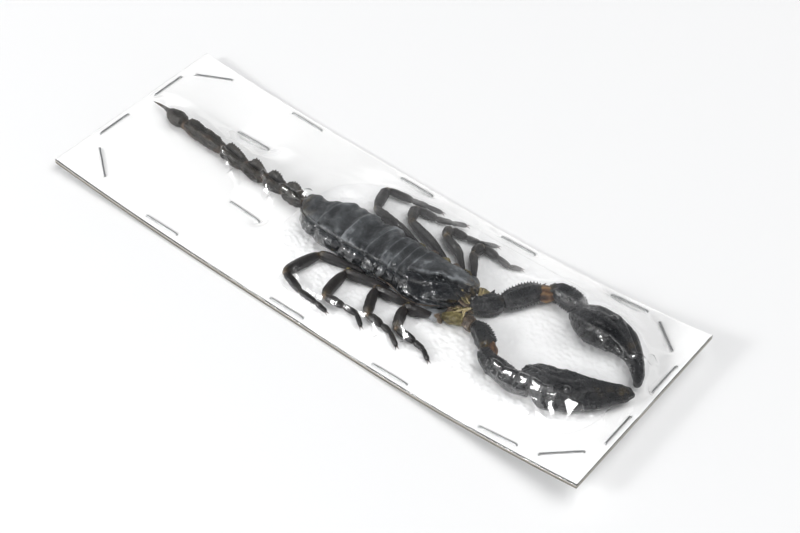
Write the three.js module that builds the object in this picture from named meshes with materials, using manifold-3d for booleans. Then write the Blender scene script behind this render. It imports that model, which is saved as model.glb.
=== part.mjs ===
// A dried scorpion on a stapled card: white card bowed up at both ends, a pad of white wadding,
// the specimen laid flat in its own rings and joints, a clear film stretched over it all, and
// eighteen wire staples clinched under the card.
//
// Millimetres, +Z up. The origin is on the surface the card rests on, under the middle of the card.
// +X runs along the card towards the claws, +Y towards the animal's left.
// Tables below give card coordinates: X from the tail end (0 to CARD_L), Y from the animal's right-hand
// edge (0 to CARD_W), and h, the height above the card's upper face.

import * as THREE from 'three';
import { mergeVertices } from 'three/addons/utils/BufferGeometryUtils.js';
import Module from 'manifold-3d';

const wasm = await Module();
wasm.setup();

// ---------------------------------------------------------------- driving dimensions
const CARD_L = 200;            // card length
const CARD_W = 70;             // card width
const CARD_T = 1.2;            // board thickness
const FLAT_TAIL = 65;          // the card lies flat from here...
const FLAT_HEAD = 118;         // ...to here, and curls up beyond both
const BOW_TAIL = 0.000584;     // curl towards the tail end, mm of rise per mm squared
const BOW_HEAD = 0.001058;     // curl towards the claw end
const STAPLE_CROWN = 12.9;     // outside width of a staple
const WIRE_W = 0.5;            // staple wire, across
const WIRE_T = 0.4;            // staple wire, thick
const CLINCH = 4.6;            // length of each leg folded under the card
const CROWN_LIFT = 0.5;        // underside of a crown above the card's face
const FILM_T = 0.2;            // film thickness
const FILM_GAP = 0.12;         // film above the card where it is pinned
const FILM_CLEAR = 0.35;       // film above what it covers
const PAD_X0 = 71, PAD_X1 = 192, PAD_HALF = 30.5, PAD_MID = 35;   // wadding outline
const PAD_TOP = 1.5, PAD_EDGE = 0.75, PAD_BASE = 0.25;            // wadding heights above the card
const JOINT_GAP = 0.3;         // gap left where two rings of the body meet

// Fore body: X, middle Y, half width, underside h, top h. Rings are cut from this outline.
const BODY = [
  [73.3, 36.0, 2.7, 2.0, 6.4], [75.5, 35.2, 4.6, 1.95, 7.4], [78, 34.4, 6.2, 1.9, 8.3], [83, 34.0, 8.4, 1.9, 9.4],
  [90, 34.3, 9.8, 1.9, 10.2], [97, 34.4, 9.9, 1.9, 10.4], [105, 34.6, 9.6, 1.9, 10.4], [114, 34.7, 9.4, 1.9, 10.3],
  [122, 34.8, 9.6, 1.9, 10.2], [128, 35.3, 9.2, 1.9, 9.7], [131.5, 35.9, 8.2, 1.9, 9.0], [134.2, 36.6, 6.4, 2.2, 7.6],
];
const RING_EDGES = [73.3, 84.6, 94.8, 103.6, 109.4, 112.6, 115.6, 118.4];   // tail side first: ring 7 to ring 1
// Cross-section of the fore body: share of the half width, share of the height.
const SECTION = [[0, 0], [0.5, 0], [0.76, 0.1], [0.86, 0.27], [1, 0.46], [0.9, 0.74], [0.55, 0.94], [0, 1],
  [-0.55, 0.94], [-0.9, 0.74], [-1, 0.46], [-0.86, 0.27], [-0.76, 0.1], [-0.5, 0]];

// Limbs and tail: X, Y, h of the middle, half width, half height.
const TAIL = {
  tail_segment_1: [[72.7, 35.9, 4.4, 1.9, 2.0], [70.5, 36.1, 4.4, 2.6, 2.9], [66.5, 36.9, 3.9, 2.9, 3.4], [64.3, 37.1, 3.5, 2.5, 2.9]],
  tail_segment_2: [[63.8, 37.1, 3.3, 2.3, 2.5], [60.5, 37.1, 3.3, 2.8, 2.9], [57.6, 37.1, 3.4, 2.9, 3.1], [56.3, 37.1, 3.2, 2.5, 2.7]],
  tail_segment_3: [[55.8, 37.1, 3.1, 2.2, 2.4], [52.5, 37.1, 3.1, 2.7, 2.8], [49.4, 37.1, 3.3, 2.8, 3.0], [48.1, 37.1, 3.1, 2.4, 2.6]],
  tail_segment_4: [[47.5, 37.15, 3.0, 2.2, 2.4], [43.5, 37.4, 3.0, 2.6, 2.7], [39.2, 37.8, 3.2, 2.8, 2.9], [37.3, 38.0, 3.0, 2.4, 2.5]],
  tail_segment_5: [[36.7, 38.0, 2.9, 2.2, 2.4], [32, 38.1, 2.9, 2.5, 2.6], [25, 38.1, 2.9, 2.5, 2.6], [21.6, 38.1, 2.8, 2.3, 2.4], [20.6, 38.1, 2.7, 1.9, 2.0]],
  telson: [[20.0, 38.1, 2.6, 1.3, 1.4], [18.3, 38.0, 2.7, 2.3, 2.3], [15.5, 38.1, 2.7, 2.4, 2.4], [12.8, 38.7, 2.6, 1.6, 1.7],
    [11, 39.2, 2.4, 0.9, 1.0], [8, 39.6, 2.0, 0.6, 0.65], [4.7, 39.8, 1.4, 0.2, 0.2]],
};
const LEGS = {
  right_leg_4: [[110.3, 26.2, 2.8, 0.65, 0.8], [103, 26.1, 2.85, 0.7, 0.85], [99, 24.9, 3.2, 1.0, 1.3], [95.5, 23.8, 3.5, 1.1, 1.6], [92, 23.2, 3.6, 1.1, 1.6],
    [90.4, 22.2, 3.7, 1.1, 1.5], [89.8, 20.4, 3.7, 1.4, 1.7], [88.3, 14, 3.7, 1.6, 1.8], [87.3, 10.6, 3.5, 1.2, 1.3], [88.0, 9.1, 3.2, 0.9, 1.0],
    [91, 8.4, 3.1, 1.1, 1.1], [95.4, 7.9, 3.0, 0.9, 0.9], [101.5, 7.6, 2.8, 0.7, 0.7], [107.5, 6.9, 2.6, 0.4, 0.45]],
  right_leg_3: [[119.3, 26.2, 2.8, 0.65, 0.8], [115.5, 26.0, 2.85, 0.7, 0.9], [112.5, 25.6, 2.95, 0.7, 0.9], [109.3, 24.1, 3.4, 0.95, 1.4], [106, 23.1, 3.7, 1.15, 1.7], [102.6, 22.7, 3.7, 1.1, 1.6],
    [101.0, 21.7, 3.7, 1.1, 1.5], [101, 20, 3.7, 1.5, 1.7], [101.8, 13.5, 3.7, 1.7, 1.8], [102.2, 11.2, 3.5, 1.2, 1.3], [103.3, 10.3, 3.2, 0.8, 0.95],
    [106, 11.2, 3.1, 1.0, 1.0], [109.5, 11.8, 3.0, 0.9, 0.9], [113.3, 12.0, 2.8, 0.75, 0.75], [118.5, 8.8, 2.6, 0.4, 0.45]],
  right_leg_2: [[127.6, 26.3, 2.8, 0.65, 0.8], [125, 26.0, 2.95, 0.8, 0.95], [121.5, 24.2, 3.5, 1.0, 1.5], [117, 23.5, 3.8, 1.2, 1.9], [113.4, 23.3, 3.8, 1.1, 1.7],
    [112.0, 22.4, 3.8, 1.1, 1.5], [112.6, 20.8, 3.8, 1.5, 1.8], [115, 15.8, 3.8, 1.7, 1.9], [116.1, 13.9, 3.5, 1.2, 1.4], [117.5, 13.1, 3.2, 0.9, 1.0],
    [119.8, 13.3, 3.1, 1.0, 1.0], [122.4, 13.3, 3.0, 0.85, 0.85], [125.3, 13.0, 2.9, 0.75, 0.75], [131.3, 9.5, 2.6, 0.4, 0.45]],
  right_leg_1: [[132.3, 26.4, 2.9, 0.7, 0.8], [131, 25.0, 3.4, 1.0, 1.4], [128.5, 23.9, 3.8, 1.25, 1.9], [125, 23.2, 3.8, 1.2, 1.8], [123.2, 22.3, 3.8, 1.1, 1.5],
    [123.6, 20.6, 3.8, 1.5, 1.8], [125.3, 16.8, 3.8, 1.6, 1.9], [126.2, 15.2, 3.5, 1.2, 1.4], [127.6, 14.3, 3.2, 0.9, 1.0], [130.7, 14.5, 3.1, 1.0, 1.0],
    [134, 14.2, 3.0, 0.85, 0.85], [137.2, 13.7, 2.9, 0.75, 0.75], [141.7, 11.0, 2.6, 0.4, 0.45]],
  left_leg_4: [[119.5, 43.2, 2.8, 0.6, 0.8], [113, 44.6, 3.0, 0.8, 1.0], [109, 46.0, 3.5, 1.1, 1.5], [103, 47.0, 3.9, 1.2, 1.8], [95, 47.9, 4.1, 1.2, 1.7],
    [91.2, 48.6, 4.2, 1.2, 1.5], [89.7, 50.5, 4.1, 1.5, 1.8], [88.6, 55.5, 3.8, 1.5, 1.8], [88.6, 57.9, 3.5, 1.2, 1.3], [89.9, 59.2, 3.2, 0.9, 1.0],
    [93, 59.4, 3.1, 1.1, 1.1], [97.3, 59.8, 3.0, 0.9, 0.95], [102.2, 61.0, 2.8, 0.7, 0.7], [108.4, 62.2, 2.6, 0.4, 0.45]],
  left_leg_3: [[124, 43.5, 2.8, 0.6, 0.8], [121, 45.9, 3.3, 1.0, 1.4], [115, 48.2, 3.8, 1.2, 1.8], [107, 50.3, 4.1, 1.2, 1.7], [103.2, 51.3, 4.2, 1.1, 1.5],
    [101.6, 53.2, 4.1, 1.3, 1.6], [100.4, 56.0, 3.8, 1.3, 1.6], [100.6, 57.4, 3.5, 1.0, 1.2], [102, 58.1, 3.2, 0.8, 0.9], [104.5, 58.0, 3.1, 0.95, 0.95],
    [108.1, 58.4, 3.0, 0.9, 0.9], [112.3, 60.2, 2.8, 0.65, 0.7], [117.3, 63.0, 2.6, 0.4, 0.45]],
  left_leg_2: [[128.3, 43.8, 2.8, 0.6, 0.8], [127, 46.5, 3.4, 1.0, 1.4], [124.5, 49.2, 3.8, 1.15, 1.7], [119, 51.8, 4.1, 1.15, 1.6], [115.4, 53.0, 4.2, 1.1, 1.5],
    [114.1, 54.6, 4.0, 1.3, 1.6], [114.1, 56.3, 3.7, 1.1, 1.4], [115.4, 57.5, 3.3, 0.85, 1.0], [117.2, 57.7, 3.1, 0.9, 0.95], [119.4, 58.0, 3.0, 0.85, 0.85],
    [123.6, 58.9, 2.8, 0.7, 0.7], [130, 62.0, 2.6, 0.4, 0.45]],
  left_leg_1: [[132.4, 43.9, 2.9, 0.6, 0.8], [131.6, 46, 3.5, 1.0, 1.4], [129.5, 48.6, 4.0, 1.2, 1.7], [127.3, 50.8, 4.3, 1.1, 1.6], [126, 52.4, 4.3, 1.1, 1.4],
    [125.6, 54.3, 4.0, 1.2, 1.6], [126, 56.6, 3.7, 1.1, 1.3], [127.4, 57.9, 3.3, 0.8, 0.95], [130, 57.7, 3.1, 0.85, 0.9], [131.8, 57.4, 3.0, 0.8, 0.85],
    [137, 56.5, 2.8, 0.65, 0.65], [141.4, 58.6, 2.6, 0.4, 0.45]],
};
const PALPS = {
  right_palp_coxa: [[134.8, 27.4, 3.3, 1.1, 1.3], [136.8, 27.5, 3.5, 1.6, 1.6], [139.0, 28.0, 3.8, 1.8, 1.8], [140.2, 28.4, 4.0, 1.5, 1.6]],
  right_palp_trochanter: [[140.8, 28.7, 4.2, 1.6, 1.8], [142.4, 29.0, 4.5, 2.1, 2.4], [143.8, 28.8, 4.7, 1.9, 2.3]],
  right_palp_femur: [[144.5, 28.5, 4.8, 1.8, 2.2], [147, 27.3, 5.0, 2.2, 2.7], [149.6, 25.4, 5.1, 2.3, 2.8], [151.7, 23.3, 5.2, 2.0, 2.5]],
  right_palp_patella: [[152.8, 21.8, 5.3, 1.8, 2.3], [154.8, 20.1, 5.5, 2.4, 2.7], [158.7, 18.3, 5.6, 2.9, 3.0], [163.9, 17.2, 5.6, 2.9, 3.0],
    [168.4, 17.2, 5.6, 2.2, 2.5], [170.4, 17.4, 5.7, 1.7, 2.0]],
  right_palp_hand: [[167.8, 22.8, 5.9, 2.0, 2.0], [172.3, 21.4, 6.4, 5.0, 4.1], [176.9, 21.3, 6.7, 6.3, 4.8], [181.3, 23.1, 6.6, 6.2, 4.7],
    [184.8, 27.0, 5.7, 3.6, 3.6], [187.9, 30.0, 4.8, 2.1, 2.5], [191.2, 32.8, 3.9, 1.5, 1.9], [194.2, 34.8, 3.2, 0.8, 0.9]],
  right_palp_finger: [[183.5, 20.7, 5.3, 2.1, 2.7], [186.6, 23.0, 5.1, 2.4, 2.6], [189.3, 26.5, 4.5, 2.0, 2.1], [192.0, 30.1, 3.9, 1.5, 1.6], [194.5, 33.4, 3.2, 0.8, 0.9]],
  left_palp_coxa: [[137.0, 42.2, 3.6, 0.9, 1.1], [138.2, 41.9, 3.9, 1.2, 1.5], [139.4, 41.2, 4.2, 1.0, 1.4]],
  left_palp_trochanter: [[140.3, 37.2, 4.6, 2.5, 2.4], [142.8, 38.6, 4.9, 2.9, 2.8], [144.7, 40.2, 5.1, 2.3, 2.5]],
  left_palp_femur: [[145.5, 41.8, 5.2, 1.9, 2.3], [146.9, 44.4, 5.4, 2.6, 3.0], [148.7, 47.6, 5.5, 2.8, 3.1], [150.4, 50.3, 5.5, 2.4, 2.8], [151.4, 51.6, 5.5, 1.9, 2.2]],
  left_palp_patella: [[153.4, 53.0, 5.6, 1.9, 2.3], [156, 54.2, 5.8, 2.8, 2.9], [159.5, 54.4, 5.9, 3.3, 3.2], [163.3, 53.7, 5.9, 2.8, 2.9], [165.6, 53.0, 6.0, 2.0, 2.2]],
  left_palp_hand: [[165.4, 49.6, 5.9, 1.8, 2.0], [169.2, 49.3, 6.4, 4.7, 4.1], [173.9, 48.8, 6.7, 6.0, 4.8], [178.8, 48.2, 6.4, 5.5, 4.5],
    [183.1, 46.9, 5.4, 3.2, 3.4], [187.4, 44.7, 4.5, 2.0, 2.5], [190.8, 41.7, 3.8, 1.5, 1.9], [193.5, 38.2, 3.2, 0.8, 0.9]],
  left_palp_finger: [[178.8, 52.8, 5.6, 2.0, 2.7], [183.0, 51.4, 5.3, 2.3, 2.6], [187.5, 48.9, 4.6, 1.9, 2.1], [191.1, 45.3, 3.9, 1.5, 1.6], [193.3, 41.0, 3.3, 0.8, 0.9]],
  right_chelicera: [[134.8, 35.4, 5.6, 1.1, 1.5], [136.6, 35.7, 5.4, 1.2, 1.6], [138.0, 36.0, 5.2, 0.7, 0.9]],
  left_chelicera: [[134.8, 38.4, 5.6, 1.1, 1.5], [136.6, 38.7, 5.4, 1.2, 1.6], [138.0, 39.3, 5.2, 0.6, 0.9]],
};
// Pieces that nest against each other: the first is hollowed so that it clears the second.
const NESTED = [
  ['right_palp_hand', 'right_palp_finger'], ['left_palp_hand', 'left_palp_finger'],
  ['right_palp_hand', 'right_palp_patella'], ['left_palp_hand', 'left_palp_patella'],
  ['left_palp_coxa', 'left_palp_trochanter'], ['right_palp_coxa', 'right_palp_trochanter'],
  ['prosoma', 'right_leg_1'], ['prosoma', 'left_leg_1'],
];
const NEST_GAP = 0.32;

// Staples: the two ends of each crown, X and Y on the card.
const STAPLES = [
  [1.9, 42.9, 1.9, 55.8], [4.3, 59.4, 15.4, 66.5], [1.9, 18.0, 1.9, 30.9], [6.1, 13.6, 16.4, 5.7], [40.1, 68.1, 53.0, 68.1], [33.1, 49.3, 46.0, 50.0],
  [52.5, 24.2, 65.4, 23.6], [37.4, 2.4, 50.3, 2.8], [88.8, 2.0, 101.7, 2.2], [86.2, 67.9, 99.1, 67.9], [126.0, 67.9, 138.9, 68.1], [166.6, 68.0, 179.4, 68.1],
  [184.3, 66.6, 193.9, 58.0], [198.0, 53.6, 198.0, 40.7], [198.0, 29.7, 198.0, 16.8], [165.9, 2.1, 178.7, 2.8], [185.1, 3.4, 195.0, 11.5], [127.9, 1.9, 140.8, 2.1],
];

// ---------------------------------------------------------------- materials
const standard = (color, roughness, metalness = 0, extra = {}) => new THREE.MeshStandardMaterial({ color, roughness, metalness, ...extra });
const MATERIAL = {
  board: standard(0xf4f3ef, 0.8), fibre: standard(0xf7f7f5, 0.95), film: standard(0xffffff, 0.08, 0, { transparent: true, opacity: 0.25 }),
  wire: standard(0xb9bbbd, 0.3, 1), cuticle: standard(0x16191c, 0.38), limb: standard(0x191614, 0.42), tail: standard(0x25221e, 0.55), membrane: standard(0x7a5c2c, 0.6),
};

// ---------------------------------------------------------------- geometry
const bow = X => BOW_TAIL * Math.max(0, FLAT_TAIL - X) ** 2 + BOW_HEAD * Math.max(0, X - FLAT_HEAD) ** 2;
const slope = X => -2 * BOW_TAIL * Math.max(0, FLAT_TAIL - X) + 2 * BOW_HEAD * Math.max(0, X - FLAT_HEAD);
const at = (X, Y, h) => new THREE.Vector3(X - CARD_L / 2, Y - CARD_W / 2, CARD_T + bow(X) + h);

function toGeometry(position, index) {
  const g = new THREE.BufferGeometry();
  g.setAttribute('position', new THREE.Float32BufferAttribute(position, 3));
  g.setIndex(index);
  return g;
}

// A closed skin through rings of points, capped with a fan at each end, faces out.
function loft(rings) {
  const n = rings[0].length, position = [], index = [];
  for (const ring of rings) for (const p of ring) position.push(p.x, p.y, p.z);
  for (let i = 0; i + 1 < rings.length; i++) {
    for (let j = 0; j < n; j++) {
      const a = i * n + j, b = i * n + (j + 1) % n, c = a + n, d = b + n;
      index.push(a, b, d, a, d, c);
    }
  }
  for (const [ring, turn] of [[0, true], [rings.length - 1, false]]) {
    const middle = rings[ring].reduce((s, p) => s.add(p), new THREE.Vector3()).multiplyScalar(1 / n);
    const m = position.length / 3;
    position.push(middle.x, middle.y, middle.z);
    for (let j = 0; j < n; j++) {
      const a = ring * n + j, b = ring * n + (j + 1) % n;
      if (turn) index.push(m, b, a); else index.push(m, a, b);
    }
  }
  let volume = 0;
  const v = k => new THREE.Vector3(position[3 * k], position[3 * k + 1], position[3 * k + 2]);
  for (let t = 0; t < index.length; t += 3) volume += v(index[t]).dot(v(index[t + 1]).cross(v(index[t + 2])));
  if (volume < 0) for (let t = 0; t < index.length; t += 3) [index[t + 1], index[t + 2]] = [index[t + 2], index[t + 1]];
  return toGeometry(position, index);
}

// A limb: oval rings square to a line through the stations, each turned halfway between its two stretches.
function limb(stations, sides, grow = 0) {
  const points = stations.map(([X, Y, h]) => at(X, Y, h));
  const up = new THREE.Vector3(0, 0, 1);
  return loft(points.map((p, i) => {
    const t = new THREE.Vector3();
    if (i > 0) t.add(p.clone().sub(points[i - 1]).normalize());
    if (i + 1 < points.length) t.add(points[i + 1].clone().sub(p).normalize());
    t.normalize();
    const side = up.clone().cross(t).normalize(), rise = t.clone().cross(side);
    const end = grow && (i === 0 ? -grow : i === points.length - 1 ? grow : 0);
    const [, , , a, b] = stations[i];
    return Array.from({ length: sides }, (_, k) => {
      const q = 2 * Math.PI * (k + 0.5) / sides;
      return p.clone().addScaledVector(side, (a + grow) * Math.cos(q)).addScaledVector(rise, (b + grow) * Math.sin(q)).addScaledVector(t, end);
    });
  }));
}

// The fore body's outline at X.
function bodyRing(X) {
  let i = 0;
  while (i < BODY.length - 2 && X > BODY[i + 1][0]) i++;
  const s = Math.min(1, Math.max(0, (X - BODY[i][0]) / (BODY[i + 1][0] - BODY[i][0])));
  const [, Y, w, low, high] = BODY[i].map((v, k) => v + s * (BODY[i + 1][k] - v));
  return SECTION.map(([u, v]) => at(X, Y + u * w, low + v * (high - low)));
}
const bodyPiece = (from, to, count) => loft(Array.from({ length: count }, (_, k) => bodyRing(from + (to - from) * k / (count - 1))));

function solid(geometry) {
  const g = geometry.clone();
  for (const name of Object.keys(g.attributes)) if (name !== 'position') g.deleteAttribute(name);
  const merged = mergeVertices(g, 1e-5);
  return new wasm.Manifold(new wasm.Mesh({
    numProp: 3, vertProperties: Float32Array.from(merged.attributes.position.array), triVerts: Uint32Array.from(merged.index.array),
  }));
}
function fromSolid(manifold) {
  const m = manifold.getMesh();
  return toGeometry(Array.from(m.vertProperties), Array.from(m.triVerts));
}

// ---------------------------------------------------------------- staples
// A staple's own axes: d along the crown, w across it, n out of the card, from the card's face under the crown.
const stapleFrames = STAPLES.map(([x0, y0, x1, y1]) => {
  const X = (x0 + x1) / 2, Y = (y0 + y1) / 2, m = slope(X), dx = x1 - x0, dy = y1 - y0;
  const d = new THREE.Vector3(dx, dy, m * dx).normalize(), n = new THREE.Vector3(-m, 0, 1).normalize();
  const w = n.clone().cross(d).normalize();
  return new THREE.Matrix4().makeBasis(d, w, n).setPosition(at(X, Y, 0));
});
function stapleGeometry(frame) {
  const half = STAPLE_CROWN / 2 - WIRE_T / 2, top = CROWN_LIFT + WIRE_T / 2, low = -CARD_T + 0.1 + WIRE_T / 2;
  const line = [[-half + CLINCH, low], [-half, low], [-half, top], [half, top], [half, low], [half - CLINCH, low]];
  const rings = line.map(([x, z], i) => {
    const before = i ? new THREE.Vector2(x - line[i - 1][0], z - line[i - 1][1]).normalize() : null;
    const after = i + 1 < line.length ? new THREE.Vector2(line[i + 1][0] - x, line[i + 1][1] - z).normalize() : null;
    const a = before || after, b = after || before;
    const normal = new THREE.Vector2(-a.y - b.y, a.x + b.x);
    normal.multiplyScalar(1 / (normal.x * -a.y + normal.y * a.x));   // mitred corner
    return [[1, 1], [-1, 1], [-1, -1], [1, -1]].map(([s, t]) => new THREE.Vector3(
      x + normal.x * t * WIRE_T / 2, s * WIRE_W / 2, z + normal.y * t * WIRE_T / 2).applyMatrix4(frame));
  });
  return loft(rings);
}
const block = (sx, sy, sz, x, y, z, frame) => solid(new THREE.BoxGeometry(sx, sy, sz).translate(x, y, z).applyMatrix4(frame));
const legHoles = frame => [-1, 1].map(s => block(WIRE_T + 0.5, WIRE_W + 0.5, 8, s * (STAPLE_CROWN / 2 - WIRE_T / 2), 0, 0, frame));

// ---------------------------------------------------------------- card
function cardGeometry() {
  const xs = [];
  for (let k = 0; k <= 8; k++) xs.push(FLAT_TAIL * k / 8);
  for (let k = 0; k <= 10; k++) xs.push(FLAT_HEAD + (CARD_L - FLAT_HEAD) * k / 10);
  const profile = new THREE.Shape();
  xs.forEach((X, i) => (i ? profile.lineTo(X - CARD_L / 2, bow(X)) : profile.moveTo(X - CARD_L / 2, bow(X))));
  for (const X of [...xs].reverse()) profile.lineTo(X - CARD_L / 2, bow(X) + CARD_T);
  const slab = new THREE.ExtrudeGeometry(profile, { depth: CARD_W, bevelEnabled: false, steps: 1 }).rotateX(Math.PI / 2).translate(0, CARD_W / 2, 0);
  let card = solid(slab);
  for (const frame of stapleFrames) {
    const recess = WIRE_T + 0.4;   // the clinched legs lie in a pressed groove, flush with the underside
    card = card.subtract(block(STAPLE_CROWN + 0.6, WIRE_W + 0.6, recess + 1, 0, 0, -CARD_T - 1 + (recess + 1) / 2, frame));
    for (const hole of legHoles(frame)) card = card.subtract(hole);
  }
  return fromSolid(card);
}

// ---------------------------------------------------------------- wadding
function waddingGeometry() {
  const middle = (PAD_X0 + PAD_X1) / 2, reach = (PAD_X1 - PAD_X0) / 2, rings = [];
  for (const u of [-1, -0.97, -0.88, -0.7, -0.45, -0.2, 0, 0.2, 0.45, 0.7, 0.88, 0.97, 1]) {
    const share = Math.max(0.12, (1 - Math.min(1, Math.abs(u)) ** 3.4) ** (1 / 3.4)), half = PAD_HALF * share;
    const top = PAD_EDGE + (PAD_TOP - PAD_EDGE) * Math.min(1, (1 - Math.abs(u)) / 0.3), X = middle + u * reach;
    rings.push([[-0.97, PAD_BASE], [0, PAD_BASE], [0.97, PAD_BASE], [1, (PAD_BASE + PAD_EDGE) / 2], [0.9, PAD_EDGE + (top - PAD_EDGE) * 0.4], [0.7, top], [0, top],
      [-0.7, top], [-0.9, PAD_EDGE + (top - PAD_EDGE) * 0.4], [-1, (PAD_BASE + PAD_EDGE) / 2]].map(([s, h]) => at(X, PAD_MID + s * half, h)));
  }
  return loft(rings);
}

// ---------------------------------------------------------------- the specimen
const pieces = {};
RING_EDGES.slice(0, -1).forEach((from, i) => {
  const ring = 7 - i, to = RING_EDGES[i + 1];
  pieces[`body_segment_${ring}`] = { geometry: bodyPiece(from + (i ? JOINT_GAP / 2 : 0), to - JOINT_GAP / 2, i ? 3 : 4), material: 'cuticle' };
});
pieces.prosoma = { geometry: bodyPiece(RING_EDGES[7] + JOINT_GAP / 2, BODY[BODY.length - 1][0], 7), material: 'cuticle' };
for (const [name, stations] of Object.entries(TAIL)) pieces[name] = { geometry: limb(stations, 10), material: 'tail' };
for (const [name, stations] of Object.entries(LEGS)) pieces[name] = { geometry: limb(stations, 6), material: 'limb', grown: limb(stations, 6, NEST_GAP) };
for (const [name, stations] of Object.entries(PALPS)) {
  const sides = name.endsWith('hand') ? 12 : name.endsWith('chelicera') ? 6 : 8;
  pieces[name] = { geometry: limb(stations, sides), material: name.endsWith('coxa') ? 'membrane' : 'limb', grown: limb(stations, sides, NEST_GAP) };
}
for (const [outer, inner] of NESTED) pieces[outer].geometry = fromSolid(solid(pieces[outer].geometry).subtract(solid(pieces[inner].grown)));

pieces.wadding = { geometry: waddingGeometry(), material: 'fibre' };
pieces.card = { geometry: cardGeometry(), material: 'board' };

// ---------------------------------------------------------------- film
// The film is held down by the staples and along the card's edge, and is stretched over everything between.
const xs = [0, 3.4], ys = [0, 3.4];
for (let k = 0; k <= 32; k++) xs.push(8 + 184 * k / 32);
for (let k = 0; k <= 10; k++) ys.push(7.5 + 55 * k / 10);
xs.push(CARD_L - 3.4, CARD_L);
ys.push(CARD_W - 3.4, CARD_W);
const NX = xs.length, NY = ys.length, id = (i, j) => i * NY + j;
const cell = (list, v) => { let i = 0; while (i < list.length - 2 && v > list[i + 1]) i++; return i; };
// the three corners of the film's triangle over a point, with their shares
function over(X, Y) {
  const i = cell(xs, X), j = cell(ys, Y), s = (X - xs[i]) / (xs[i + 1] - xs[i]), t = (Y - ys[j]) / (ys[j + 1] - ys[j]);
  return s >= t ? [[id(i, j), 1 - s], [id(i + 1, j), s - t], [id(i + 1, j + 1), t]] : [[id(i, j), 1 - t], [id(i, j + 1), t - s], [id(i + 1, j + 1), s]];
}
const pinned = new Set();
for (let i = 0; i < NX; i++) for (let j = 0; j < NY; j++) if (i === 0 || j === 0 || i === NX - 1 || j === NY - 1) pinned.add(id(i, j));
for (const [x0, y0, x1, y1] of STAPLES) {
  for (let k = -2; k <= 28; k++) {
    const i = cell(xs, x0 + (x1 - x0) * k / 26), j = cell(ys, y0 + (y1 - y0) * k / 26);
    for (const [di, dj] of [[0, 0], [1, 0], [0, 1], [1, 1]]) pinned.add(id(i + di, j + dj));
  }
}
// what the film covers, as points on its upper side: X, Y and height above the card's face
const covered = new Map();
for (const [name, piece] of Object.entries(pieces)) {
  if (name === 'card') continue;
  const p = piece.geometry.attributes.position, index = piece.geometry.index, corner = k => new THREE.Vector3().fromBufferAttribute(p, index.getX(k));
  for (let t = 0; t < index.count; t += 3) {
    const [a, b, c] = [corner(t), corner(t + 1), corner(t + 2)];
    const steps = Math.max(1, Math.ceil(Math.max(a.distanceTo(b), b.distanceTo(c), c.distanceTo(a)) / 0.6));
    for (let u = 0; u <= steps; u++) for (let v = 0; u + v <= steps; v++) {
      const q = a.clone().multiplyScalar(1 - (u + v) / steps).addScaledVector(b, u / steps).addScaledVector(c, v / steps);
      const X = q.x + CARD_L / 2, Y = q.y + CARD_W / 2, h = q.z - CARD_T - bow(X), key = `${Math.round(X / 0.6)},${Math.round(Y / 0.6)}`;
      if (!covered.has(key) || covered.get(key)[2] < h) covered.set(key, [X, Y, h]);
    }
  }
}
const needs = [...covered.values()].map(([X, Y, h]) => ({ corners: over(X, Y), h: h + FILM_CLEAR }));
const height = new Float64Array(NX * NY).fill(FILM_GAP);
function clear(slack) {
  let worst = 0;
  for (const { corners, h } of needs) {
    const short = h + slack - corners.reduce((s, [k, w]) => s + w * height[k], 0);
    if (short <= 0) continue;
    worst = Math.max(worst, short);
    const free = corners.filter(([k]) => !pinned.has(k)), sum = free.reduce((s, [, w]) => s + w * w, 0);
    if (sum > 1e-6) for (const [k, w] of free) height[k] += Math.min(3, short * w / sum);
  }
  return worst;
}
for (let round = 0; round < 160; round++) {
  const before = height.slice();
  for (let i = 1; i < NX - 1; i++) for (let j = 1; j < NY - 1; j++) {
    if (!pinned.has(id(i, j))) height[id(i, j)] = Math.max(FILM_GAP, (before[id(i - 1, j)] + before[id(i + 1, j)] + before[id(i, j - 1)] + before[id(i, j + 1)]) / 4);
  }
  clear(0.05);
}
for (let round = 0; round < 60; round++) if (clear(0.02) < 1e-4) break;

function filmGeometry() {
  const position = [], index = [], count = NX * NY;
  for (const lift of [FILM_T, 0]) for (let i = 0; i < NX; i++) for (let j = 0; j < NY; j++) {
    const p = at(xs[i], ys[j], height[id(i, j)] + lift);
    position.push(p.x, p.y, p.z);
  }
  for (let i = 0; i < NX - 1; i++) for (let j = 0; j < NY - 1; j++) {
    const a = id(i, j), b = id(i + 1, j), c = id(i + 1, j + 1), d = id(i, j + 1);
    index.push(a, b, c, a, c, d, count + a, count + c, count + b, count + a, count + d, count + c);
  }
  const rim = [];
  for (let i = 0; i < NX - 1; i++) rim.push(id(i, 0));
  for (let j = 0; j < NY - 1; j++) rim.push(id(NX - 1, j));
  for (let i = NX - 1; i > 0; i--) rim.push(id(i, NY - 1));
  for (let j = NY - 1; j > 0; j--) rim.push(id(0, j));
  rim.forEach((a, k) => {
    const b = rim[(k + 1) % rim.length];
    index.push(a, count + a, count + b, a, count + b, b);
  });
  let film = solid(toGeometry(position, index));
  for (const frame of stapleFrames) for (const hole of legHoles(frame)) film = film.subtract(hole);
  return fromSolid(film);
}
pieces.cover_film = { geometry: filmGeometry(), material: 'film' };
stapleFrames.forEach((frame, k) => { pieces[`staple_${String(k + 1).padStart(2, '0')}`] = { geometry: stapleGeometry(frame), material: 'wire' }; });

// ---------------------------------------------------------------- assembly
const specimen = new THREE.Group();
for (const [name, { geometry, material }] of Object.entries(pieces)) {
  geometry.computeVertexNormals();
  const mesh = new THREE.Mesh(geometry, MATERIAL[material]);
  mesh.name = name;
  specimen.add(mesh);
}
export default specimen;
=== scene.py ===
import math
import bpy
import numpy as np
from mathutils import Matrix, Vector


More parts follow.
